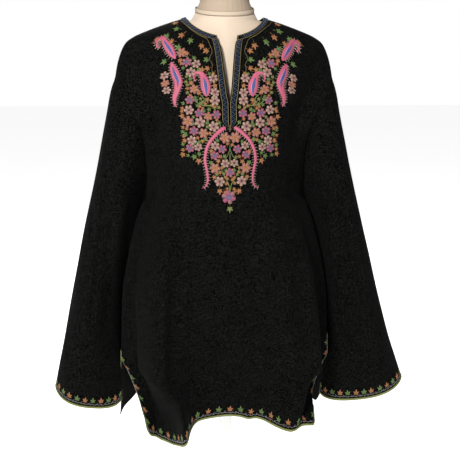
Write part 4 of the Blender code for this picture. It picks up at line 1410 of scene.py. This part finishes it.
# Stems, points out and down, and half width of each line
YOKE_STEMS = (
    (((0, 66), (0, 78), (3, 90), (12, 104), (15, 116), (9, 131), (2, 144), (0, 158)), 0.9),
    (((0, 88), (1, 100), (0, 112)), 0.6),
    (((65, -9), (56, 2), (44, 7), (32, 7), (24, 15)), 1.5),
    (((44, 7), (44, -4), (50, -12)), 1.1),
    (((66, 77), (56, 69), (46, 66), (36, 68)), 1.1),
    (((80, -84), (84, -96), (91, -104)), 0.7),
    (((63, -62), (73, -82), (80, -84)), 0.9),
    (((83, -162), (77, -149), (70, -139), (60, -129), (48, -119), (37, -113), (32, -101), (28, -89),
      (34, -76), (28, -66), (30, -56), (26, -48)), 0.5),
)

# Outline of the field that the small leaves fill: out, down
FIELD = (
    (88, -92), (66, -78), (50, -70), (44, -54), (20, -50), (19, -20), (17, 20), (18, 40), (5, 54),
    (3, 100), (4, 150), (10, 162), (26, 142), (34, 118), (36, 100), (33, 84), (42, 72), (50, 88),
    (56, 106), (70, 96), (88, 96), (82, 60), (86, 20), (76, -14), (77, -50), (92, -84),
)


class Threads:
    """Stitches gathered into one piece."""

    def __init__(self, name):
        self.name = name
        self.points = []
        self.faces = []
        self.dyes = []
        self.rulers = []
        self.count = 0

    def satin(self, chart, line, half, rise, first, last=None, lift=0.0, across=5):
        """A domed ribbon of side-by-side stitches along a line of the chart, closed underneath."""
        line = np.asarray(line, dtype=float)
        rings = len(line)
        half = np.broadcast_to(np.asarray(half, dtype=float), (rings,))
        run = run_along(line)
        way = np.gradient(line, axis=0)
        way /= np.maximum(np.linalg.norm(way, axis=1), 1e-9)[:, None]
        side = np.stack([-way[:, 1], way[:, 0]], axis=1)
        place = np.linspace(-1.0, 1.0, across)
        reach = half[:, None] * place
        spots = line[:, None] + side[:, None] * reach[..., None]
        dome = np.sqrt(np.maximum(1.0 - place ** 2, 0.0)) * np.sqrt(half / half.max())[:, None]
        height = lift + rise * dome - THREAD_SUNK * (np.abs(place) == 1.0)
        self.points.append(chart.place(spots.reshape(-1, 2), height.ravel()))
        share = (run / max(run[-1], 1e-9))[:, None]
        shade = first * (1.0 - share) + (first if last is None else last) * share
        self.dyes.append(np.repeat(shade, across, axis=0))
        ruler = np.stack([np.broadcast_to(run[:, None], reach.shape), reach], axis=2)
        self.rulers.append(ruler.reshape(-1, 2))
        flip = chart.hand < 0
        for k in range(rings - 1):
            a = self.count + k * across
            for u in range(across):
                v = (u + 1) % across
                face = (a + u, a + across + u, a + across + v, a + v)
                self.faces.append(face[::-1] if flip else face)
        start = tuple(range(self.count, self.count + across))
        last_ring = self.count + (rings - 1) * across
        end = tuple(range(last_ring + across - 1, last_ring - 1, -1))
        self.faces += [start[::-1], end[::-1]] if flip else [start, end]
        self.count += rings * across

    def piece(self, surface, slot="black_wool"):
        """The gathered stitches as one piece, with their dyes and stitch rulers."""
        piece = add_piece(self.name, np.concatenate(self.points), self.faces, surface, slot)
        mesh = piece.data
        colours = mesh.color_attributes.new("dye", "FLOAT_COLOR", "POINT")
        colours.data.foreach_set("color", np.concatenate(self.dyes).ravel())
        ruler = mesh.uv_layers.new(name="stitch")
        corner = np.zeros(len(mesh.loops), dtype=np.int32)
        mesh.loops.foreach_get("vertex_index", corner)
        ruler.data.foreach_set("uv", np.concatenate(self.rulers)[corner].ravel())
        return piece


def lobe(threads, chart, centre, turn, start, end, wide, shape, first, last, rise, across=5):
    """One petal or leaf lobe, stitched outwards from a centre."""
    way = np.array([math.cos(turn), math.sin(turn)])
    line = centre + way * np.linspace(start, end, len(shape))[:, None]
    threads.satin(chart, line, wide * np.array(shape), rise, first, last, 0.0, across)


def disc(threads, chart, centre, radius, rise, colour, lift=0.0):
    """A small round of stitches."""
    place = np.array([-0.98, -0.7, 0.0, 0.7, 0.98])
    line = centre + np.stack([place * radius, np.zeros(5)], axis=1)
    threads.satin(chart, line, radius * np.sqrt(1.0 - place ** 2), rise, colour, None, lift)


def flower(threads, chart, centre, size, kind, turn):
    """Six petals round a small centre, on a dark ground."""
    inner, outer, second, heart = FLOWER_DYES[kind]
    radius = size * FLOWER_RADIUS
    disc(threads, chart, centre, radius * FLOWER_GROUND, 0.0003, MAROON)
    for k in range(6):
        tip = outer if k % 2 == 0 else second
        angle = turn + k * math.pi / 3
        lobe(threads, chart, centre, angle, radius * PETAL_ROOT, radius, radius * PETAL_HALF,
             PETAL_SHAPE, inner, tip, PETAL_RISE)
    disc(threads, chart, centre, radius * FLOWER_CENTRE, 0.0008, heart, 0.0009)


def leaf(threads, chart, centre, size, kind, turn):
    """A five-lobed leaf pointing along its heading."""
    dark, light = LEAF_DYES[kind]
    size = size * LEAF_FULL
    for angle, length, wide in LEAF_LOBES:
        lobe(threads, chart, centre, turn + math.radians(angle), 0.0, size * length, size * wide,
             LOBE_SHAPE, dark, light, LEAF_RISE, 3)
    way = np.array([math.cos(turn), math.sin(turn)])
    stem = np.array([centre - way * size * 0.62, centre - way * size * 0.1])
    threads.satin(chart, stem, LEAF_STEM_HALF, 0.0007, dark, None, 0.0, 3)


def smooth_line(points, steps):
    """A smooth line through charted points, with all their columns."""
    points = np.asarray(points, dtype=float)
    run = run_along(points[:, :2])
    table = [(r, *p) for r, p in zip(run, points)]
    wanted = np.linspace(0.0, run[-1], steps)
    line = [smooth_curve(table, wanted, c + 1) for c in range(points.shape[1])]
    return np.stack(line, axis=1)


def fringe(threads, chart, line, half, sides, rng):
    """Short pale strands that stand out from the edge of a shape."""
    run = run_along(line)
    wanted = np.arange(0.002, run[-1] - 0.001, FRINGE_PITCH)
    spots = resample(line, run, wanted)
    wide = np.interp(wanted, run, half)
    way = np.stack([np.interp(wanted, run, c) for c in np.gradient(line, axis=0).T], axis=1)
    way /= np.linalg.norm(way, axis=1)[:, None]
    for side in sides:
        square = np.stack([-way[:, 1], way[:, 0]], axis=1) * side
        for spot, out, on, reach in zip(spots, square, way, wide):
            root = spot + out * reach * 0.9
            tip = root + out * rng.uniform(*FRINGE_LENGTH) + on * rng.uniform(*FRINGE_LEAN)
            threads.satin(chart, [root, tip], FRINGE_HALF, 0.0009, PALE, None, 0.0, 3)


def paisley(threads, chart, points, heart, sides, rng):
    """A curled shape in pink, with a blue heart or none, and a fringe."""
    shape = smooth_line(points, 28)
    line, half = shape[:, :2], shape[:, 2]
    fringe(threads, chart, line, half, sides, rng)
    threads.satin(chart, line, half, PAISLEY_RISE, PAISLEY_PINK, None, 0.0, 7)
    if heart:
        wide = int(np.argmax(half))
        part = slice(max(wide - 6, 0), wide + 7)
        fade = np.sin(np.linspace(0.08, 1.0, len(half[part])) * math.pi * 0.96)
        threads.satin(chart, line[part], half[part] * 0.56 * fade, 0.0007, PALE_PINK, None, 0.0013)
        threads.satin(chart, line[part], half[part] * 0.36 * fade, 0.0008, HEART_BLUE, None, 0.0017)


def mirrored(spot, side):
    """A charted spot on one half of the yoke, in metres."""
    return np.array([spot[0] * side * YOKE_FULLER[side], spot[1]]) / 1000.0


def inside(spot, outline):
    """Whether a spot lies within an outline."""
    found = False
    for (ax, ay), (bx, by) in zip(outline, outline[1:] + outline[:1]):
        if (ay > spot[1]) != (by > spot[1]):
            if spot[0] < (bx - ax) * (spot[1] - ay) / (by - ay) + ax:
                found = not found
    return found


def filler_spots(rng):
    """Places in the field that the charted motifs leave free, in millimetres."""
    taken = [(f[0], f[1], f[2] / 2 + FLOWER_ROOM) for f in YOKE_FLOWERS]
    taken += [(v[0], v[1], v[3] / 2 + LEAF_ROOM) for v in YOKE_LEAVES]
    for points, _ in YOKE_PAISLEYS:
        taken += [(x, y, half + PAISLEY_ROOM) for x, y, half in smooth_line(points, 24)]
    for points in YOKE_TAILS:
        taken += [(x, y, half + PAISLEY_ROOM) for x, y, half in smooth_line(points, 40)]
    free = []
    for _ in range(FILLER_TRIES):
        spot = (rng.uniform(3, 92), rng.uniform(-95, 165))
        if not inside(spot, FIELD):
            continue
        if all(math.hypot(spot[0] - x, spot[1] - y) > gap for x, y, gap in taken):
            free.append(spot)
            taken.append((*spot, FILLER_ROOM))
    return free


def stitch_yoke(chart):
    """The embroidered yoke: both halves from one chart, each with its own small unevenness."""
    flowers, leaves = Threads("yoke_flowers"), Threads("yoke_leaves")
    stems, paisleys = Threads("yoke_stems"), Threads("yoke_paisleys")
    rng = np.random.default_rng(11)
    free = filler_spots(rng)
    for side in (-1, 1):
        for x, y, size, kind in YOKE_FLOWERS:
            spot = mirrored((x, y), side) + rng.normal(0.0, 0.0005, 2)
            size = size / 1000 * rng.uniform(0.96, 1.05)
            flower(flowers, chart, spot, size, kind, rng.uniform(0, 1))
        for x, y, turn, size, kind in YOKE_LEAVES:
            heading = math.radians(turn if side > 0 else 180 - turn) + rng.uniform(-0.2, 0.2)
            spot = mirrored((x, y), side) + rng.normal(0.0, 0.0005, 2)
            size = size / 1000 * rng.uniform(0.95, 1.08)
            leaf(leaves, chart, spot, size, kind, heading)
        for k, spot in enumerate(free):
            kind = ("orange", "green", "orange", "olive")[k % 4]
            size = rng.uniform(*FILLER_SIZE)
            leaf(leaves, chart, mirrored(spot, side), size, kind, rng.uniform(0, 6.3))
        for points, half in YOKE_STEMS:
            line = smooth_line([mirrored(p, side) for p in points], 24)
            first, last = (LEAF_GREEN, GREEN) if half > 0.6 else (OLIVE, OLIVE)
            stems.satin(chart, line, half / 1000, 0.0009, first, last, 0.0, 3)
        for points, heart in YOKE_PAISLEYS:
            row = [(*mirrored(p, side), p[2] / 1000) for p in points]
            paisley(paisleys, chart, row, heart, (-1, 1), rng)
        for points in YOKE_TAILS:
            row = [(*mirrored(p, side), p[2] / 1000) for p in points]
            paisley(paisleys, chart, row, False, (-1, 1), rng)
    for x, y, size, kind in CENTRE_FLOWERS:
        flower(flowers, chart, np.array((x, y)) / 1000, size / 1000, kind, 0.3)
    for x, y, turn, size, kind in CENTRE_LEAVES:
        leaf(leaves, chart, np.array((x, y)) / 1000, size / 1000, kind, math.radians(turn))
    return flowers, leaves, stems, paisleys


def band_stitches(threads, chart, length, widths, start):
    """Two couched lines and a crossed blue zigzag on a stretch of the neck band."""
    steps = max(int(length / 0.003), 2)
    run = np.linspace(0.0, length, steps)
    wide = np.interp(run, np.linspace(0.0, length, len(widths)), widths)
    fuller = np.clip((wide - BAND_WIDTH) / (BAND_WIDTH * (BAND_FULLER - 1.0)), 0.0, 1.0)
    inner = np.minimum(COUCHED_INNER + COUCHED_GAIN * fuller, wide * 0.5)
    outer = np.maximum(wide - COUCHED_OUTER, 0.0004)
    inner_line, outer_line = (np.stack([run, place], axis=1) for place in (inner, outer))
    threads.satin(chart, inner_line, 0.0008, COUCHED_RISE, OLIVE, None, 0.0, 3)
    outer_line = outer_line[run >= start]
    threads.satin(chart, outer_line, 0.0009, COUCHED_RISE, OLIVE, None, 0.0, 3)
    for phase, colour, half in ((0.0, BLUE, 0.00048), (0.5, DEEP_BLUE, 0.00030)):
        marks = np.arange(start + phase * ZIGZAG_PITCH, length - 0.006, ZIGZAG_PITCH)
        for a, b in zip(marks, marks[1:]):
            middle = (a + b) / 2
            low = [np.interp(v, run, inner) + ZIGZAG_LOW for v in (a, b)]
            high = np.interp(middle, run, outer) - ZIGZAG_HIGH
            threads.satin(chart, [(a, low[0]), (middle, high)], half, 0.0008, colour, None, 0.0, 3)
            threads.satin(chart, [(middle, high), (b, low[1])], half, 0.0007, colour, None, 0.0, 3)


def border(edge, vine, leaves, chart, length, pitch, first, last, rng):
    """Green edging, a wavy thread with spurs and a row of leaves along an edge of the cloth."""
    run = np.linspace(0.0, length, max(int(length / 0.004), 3))
    line = np.stack([run, np.full(len(run), EDGING_PLACE)], axis=1)
    edge.satin(chart, line, EDGING_HALF, 0.0012, EDGE_GREEN, None, 0.0, 5)
    run = np.arange(0.0, length, 0.0011)
    wave = VINE_PLACE + VINE_SWING * np.sin(run * 2 * math.pi / VINE_WAVE)
    line = np.stack([run, wave], axis=1)
    vine.satin(chart, line, 0.00044, 0.0007, SILVER, None, 0.0, 3)
    count = max(int(round((length - first - last) / pitch)), 1)
    for k, mark in enumerate(np.linspace(first, length - last, count + 1)):
        spot = np.array([mark + rng.normal(0.0, 0.0005), LEAF_PLACE + rng.normal(0.0, 0.0003)])
        kind = "orange" if k % 2 else "green"
        size = LEAF_SIZE * rng.uniform(0.93, 1.07)
        leaf(leaves, chart, spot, size, kind, math.pi / 2 + rng.uniform(-LEAF_TURN, LEAF_TURN))
        spur = mark + pitch / 2
        if spur < length - 0.003:
            tip = (spur + 0.0016, 0.0116)
            vine.satin(chart, [(spur, 0.0082), tip], 0.0005, 0.0006, SILVER, None, 0.0, 3)


def thread_material():
    """Dyed cotton thread laid in close satin stitches."""
    g = Graph("embroidery thread")
    colour = g.node("ShaderNodeAttribute", {"attribute_name": "dye"}).outputs["Color"]
    ruler = g.node("ShaderNodeUVMap", {"uv_map": "stitch"}).outputs["UV"]
    along = Value(g, g.node("ShaderNodeSeparateXYZ", None, {"Vector": ruler}).outputs["X"])
    wander = g.noise(900.0, 2.0)
    stitch = (along * (2 * math.pi / STITCH_PITCH) + wander * 3.0).math("SINE") * 0.5 + 0.5
    shade = g.mix(stitch * 0.30 + wander * 0.20, colour, (0.0, 0.0, 0.0, 1.0))
    height = stitch * 0.7 + wander * 0.3
    g.set(Base_Color=shade, Roughness=0.62 - stitch * 0.12, Normal=g.bump(height, 0.00018, 0.9))
    return g.material


def band_threads(cloth):
    """The couched lines and zigzag on the band, round the neck and down both sides of the slit."""
    threads = Threads("band_stitches")
    lifted = {}
    ways = {}
    for node in ("front_panel", "back_panel"):
        _, points, _, normals = cloth[node]
        lifted[node] = halves(points + normals * BAND_LIFT)
        ways[node] = halves(normals)
    for half in (0, 1):
        grid, way = lifted["front_panel"][half], ways["front_panel"][half]
        rows = range(BAND_END_ROW + 1)
        lines = [[band_spot(grid, j, i) for i in range(BAND_COLUMNS + 1)] for j in rows]
        aims = [[band_spot(way, j, i) for i in range(BAND_COLUMNS + 1)] for j in rows]
        widths = [run_along(np.array(line))[-1] for line in lines]
        chart, length = edge_chart(np.array(lines), np.array(aims), BAND_WIDTH * BAND_FULLER)
        band_stitches(threads, chart, length, widths, BAND_WIDTH)
    lines = []
    aims = []
    for node, half, order in (
        ("front_panel", 0, range(NECK_COLUMN)),
        ("back_panel", 0, range(NECK_COLUMN, 0, -1)),
        ("back_panel", 1, range(NECK_COLUMN)),
        ("front_panel", 1, range(NECK_COLUMN, -1, -1)),
    ):
        for i in order:
            lines.append(lifted[node][half][:BAND_ROWS + 1, i])
            aims.append(ways[node][half][:BAND_ROWS + 1, i])
    chart, length = edge_chart(np.array(lines), np.array(aims), BAND_WIDTH)
    band_stitches(threads, chart, length, [BAND_WIDTH] * 2, 0.001)
    return threads


def edge_borders(cloth, surface):
    """Edging, wavy thread and leaves along hems, side slits and cuffs, as pieces for each sheet."""
    made = {}
    rng = np.random.default_rng(23)
    for node in ("front_panel", "back_panel", "sleeve_right", "sleeve_left"):
        _, points, _, normals = cloth[node]
        kinds = [Threads(f"{node}_{kind}") for kind in ("edging", "vine", "leaves")]
        if node.endswith("panel"):
            (left, right), (left_way, right_way) = halves(points), halves(normals)
            whole = np.concatenate([left[:, ::-1], right[:, 1:]], axis=1)
            ways = np.concatenate([left_way[:, ::-1], right_way[:, 1:]], axis=1)
            hem = (slice(HEM_ROW, HEM_ROW - 9, -1), slice(None))
            edges = [(whole[hem].transpose(1, 0, 2), ways[hem].transpose(1, 0, 2), 0.010, 0.010)]
            for grid, way, above in zip((left, right), (left_way, right_way), ROWS_ABOVE_SLIT):
                side = (slice(SLIT_ROW - above, None), slice(HALF_COLUMNS, HALF_COLUMNS - 9, -1))
                edges.append((grid[side], way[side], 0.014, 0.026))
            pitch = HEM_PITCH
        else:
            grid = points.reshape(SLEEVE_ROWS + 1, -1, 3)
            way = normals.reshape(SLEEVE_ROWS + 1, -1, 3)
            cuff = (slice(SLEEVE_ROWS, SLEEVE_ROWS - 7, -1), slice(None))
            lines, aims = (np.concatenate([g[cuff], g[cuff][:, :1]], axis=1) for g in (grid, way))
            pitch = CUFF_PITCH
            edges = [(lines.transpose(1, 0, 2), aims.transpose(1, 0, 2), pitch / 2, pitch / 2)]
        for lines, aims, first, last in edges:
            chart, length = edge_chart(lines, aims, BORDER_REACH)
            border(*kinds, chart, length, pitch, first, last, rng)
        made[node] = [kind.piece(surface) for kind in kinds]
    return made


def back_neck_border(cloth, surface):
    """The leaf border round the back of the neck."""
    _, points, _, normals = cloth["back_panel"]
    lines = []
    aims = []
    for half, order in ((0, range(NECK_COLUMN, 0, -1)), (1, range(NECK_COLUMN + 1))):
        for i in order:
            lines.append(halves(points)[half][BAND_ROWS:BAND_ROWS + 7, i])
            aims.append(halves(normals)[half][BAND_ROWS:BAND_ROWS + 7, i])
    chart, length = edge_chart(np.array(lines), np.array(aims), BACK_NECK_REACH)
    vine, leaves = Threads("back_neck_vine"), Threads("back_neck_leaves")
    run = np.arange(0.004, length - 0.004, 0.0015)
    line = np.stack([run, 0.0055 + 0.0016 * np.sin(run * 2 * math.pi / 0.036)], axis=1)
    vine.satin(chart, line, 0.0005, 0.0007, OLIVE, None, 0.0, 3)
    rng = np.random.default_rng(31)
    for k, mark in enumerate(np.arange(0.012, length - 0.008, BACK_NECK_PITCH)):
        kind = "orange" if k % 2 else "green"
        size = LEAF_SIZE * rng.uniform(0.94, 1.06)
        turn = math.pi / 2 + rng.uniform(-LEAF_TURN, LEAF_TURN)
        leaf(leaves, chart, np.array([mark, 0.0135]), size, kind, turn)
    return [vine.piece(surface), leaves.piece(surface)]


# ---------------------------------------------------------------- stage

def set_camera():
    """The camera of the photo, fitted to its outline."""
    data = bpy.data.cameras.new("camera")
    data.lens = LENS
    data.sensor_width = FILM
    camera = bpy.data.objects.new("camera", data)
    bpy.context.scene.collection.objects.link(camera)
    turn, tilt = math.radians(CAMERA_TURN), math.radians(CAMERA_TILT)
    place = (CAMERA_OFFSET + CAMERA_REACH * math.sin(turn), -CAMERA_REACH * math.cos(turn))
    camera.location = (*place, CAMERA_HEIGHT)
    camera.rotation_euler = (math.pi / 2 - tilt, 0.0, turn)
    bpy.context.scene.camera = camera


def add_light(name, place, size, power):
    """A round soft lamp that faces the garment."""
    data = bpy.data.lights.new(name, "AREA")
    data.shape = "DISK"
    data.size = size
    data.energy = power
    light = bpy.data.objects.new(name, data)
    bpy.context.scene.collection.objects.link(light)
    light.location = place
    away = light.location - Vector((0.0, 0.0, 0.7))
    light.rotation_euler = away.to_track_quat("Z", "Y").to_euler()


def set_stage():
    """Plain white floor, a dim even room that looks white, and three soft lamps."""
    world = bpy.data.worlds.new("studio")
    world.use_nodes = True
    tree = world.node_tree
    room = tree.nodes["Background"]
    room.inputs["Color"].default_value = (1.0, 1.0, 1.0, 1.0)
    room.inputs["Strength"].default_value = ROOM_LIGHT
    seen = tree.nodes.new("ShaderNodeBackground")
    seen.inputs["Color"].default_value = (1.0, 1.0, 1.0, 1.0)
    path = tree.nodes.new("ShaderNodeLightPath")
    both = tree.nodes.new("ShaderNodeMixShader")
    tree.links.new(path.outputs["Is Camera Ray"], both.inputs[0])
    tree.links.new(room.outputs[0], both.inputs[1])
    tree.links.new(seen.outputs[0], both.inputs[2])
    tree.links.new(both.outputs[0], tree.nodes["World Output"].inputs["Surface"])
    bpy.context.scene.world = world
    bpy.ops.mesh.primitive_plane_add(size=40.0)
    floor = bpy.context.active_object
    floor.name = "floor"
    g = Graph("floor")
    pale = g.mix(g.noise(3.0), (0.95, 0.95, 0.95, 1.0), (0.97, 0.97, 0.97, 1.0))
    g.set(Base_Color=pale, Roughness=0.9, Emission_Color=pale, Emission_Strength=FLOOR_GLOW)
    floor.data.materials.append(g.material)
    add_light("key", (-1.0, -2.1, 2.2), 0.5, 152.0)
    add_light("fill", (1.5, -2.3, 1.6), 1.0, 20.0)
    add_light("back", (-0.6, 2.6, 2.2), 1.4, 50.0)
    bpy.context.scene.view_settings.view_transform = "Standard"


# ---------------------------------------------------------------- making it

bpy.ops.object.select_all(action="DESELECT")
wool = wool_material()
cover = cover_material("form cover", (0.335, 0.267, 0.200), (0.355, 0.283, 0.213), 1400.0)
neck_cover = cover_material("form neck cover", (0.205, 0.157, 0.110), (0.228, 0.175, 0.124), 1100.0)
paint = paint_material()
thread = thread_material()
cloth = build_cloth(wool)
band = build_band(cloth, wool)
torso = build_torso(cover)
binding = cover_material("form binding", (0.280, 0.225, 0.162), (0.305, 0.245, 0.178), 900.0)
# The thin dark seam ring is painted shade: a darker copy of the cover, laid where the groove at the
# neck seam lies in shadow.
seam_painted_shade = cover_material("form seam painted shade", (0.120, 0.090, 0.064), (0.150, 0.112, 0.080), 900.0)
build_neck_seam(binding, "neck_binding", 0.0036, 0.0008, 0.0074)
build_neck_seam(seam_painted_shade, "neck_seam_painted_shade", -0.0004, 0.0007, 0.0012)
front, front_points, front_faces, _ = cloth["front_panel"]
yoke = [part.piece(thread) for part in stitch_yoke(yoke_chart(front_points, front_faces))]
borders = edge_borders(cloth, thread)
borders["back_panel"] += back_neck_border(cloth, thread)
band_work = band_threads(cloth).piece(thread, "band_wool")
for node, surface, slot in (
    ("form_neck", neck_cover, "form_neck_cover"),
    ("form_pole", paint, "stand_paint"),
    ("form_base", paint, "stand_paint"),
):
    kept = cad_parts[node]
    kept.data.materials.clear()
    kept.data.materials.append(surface)

set_camera()
set_stage()
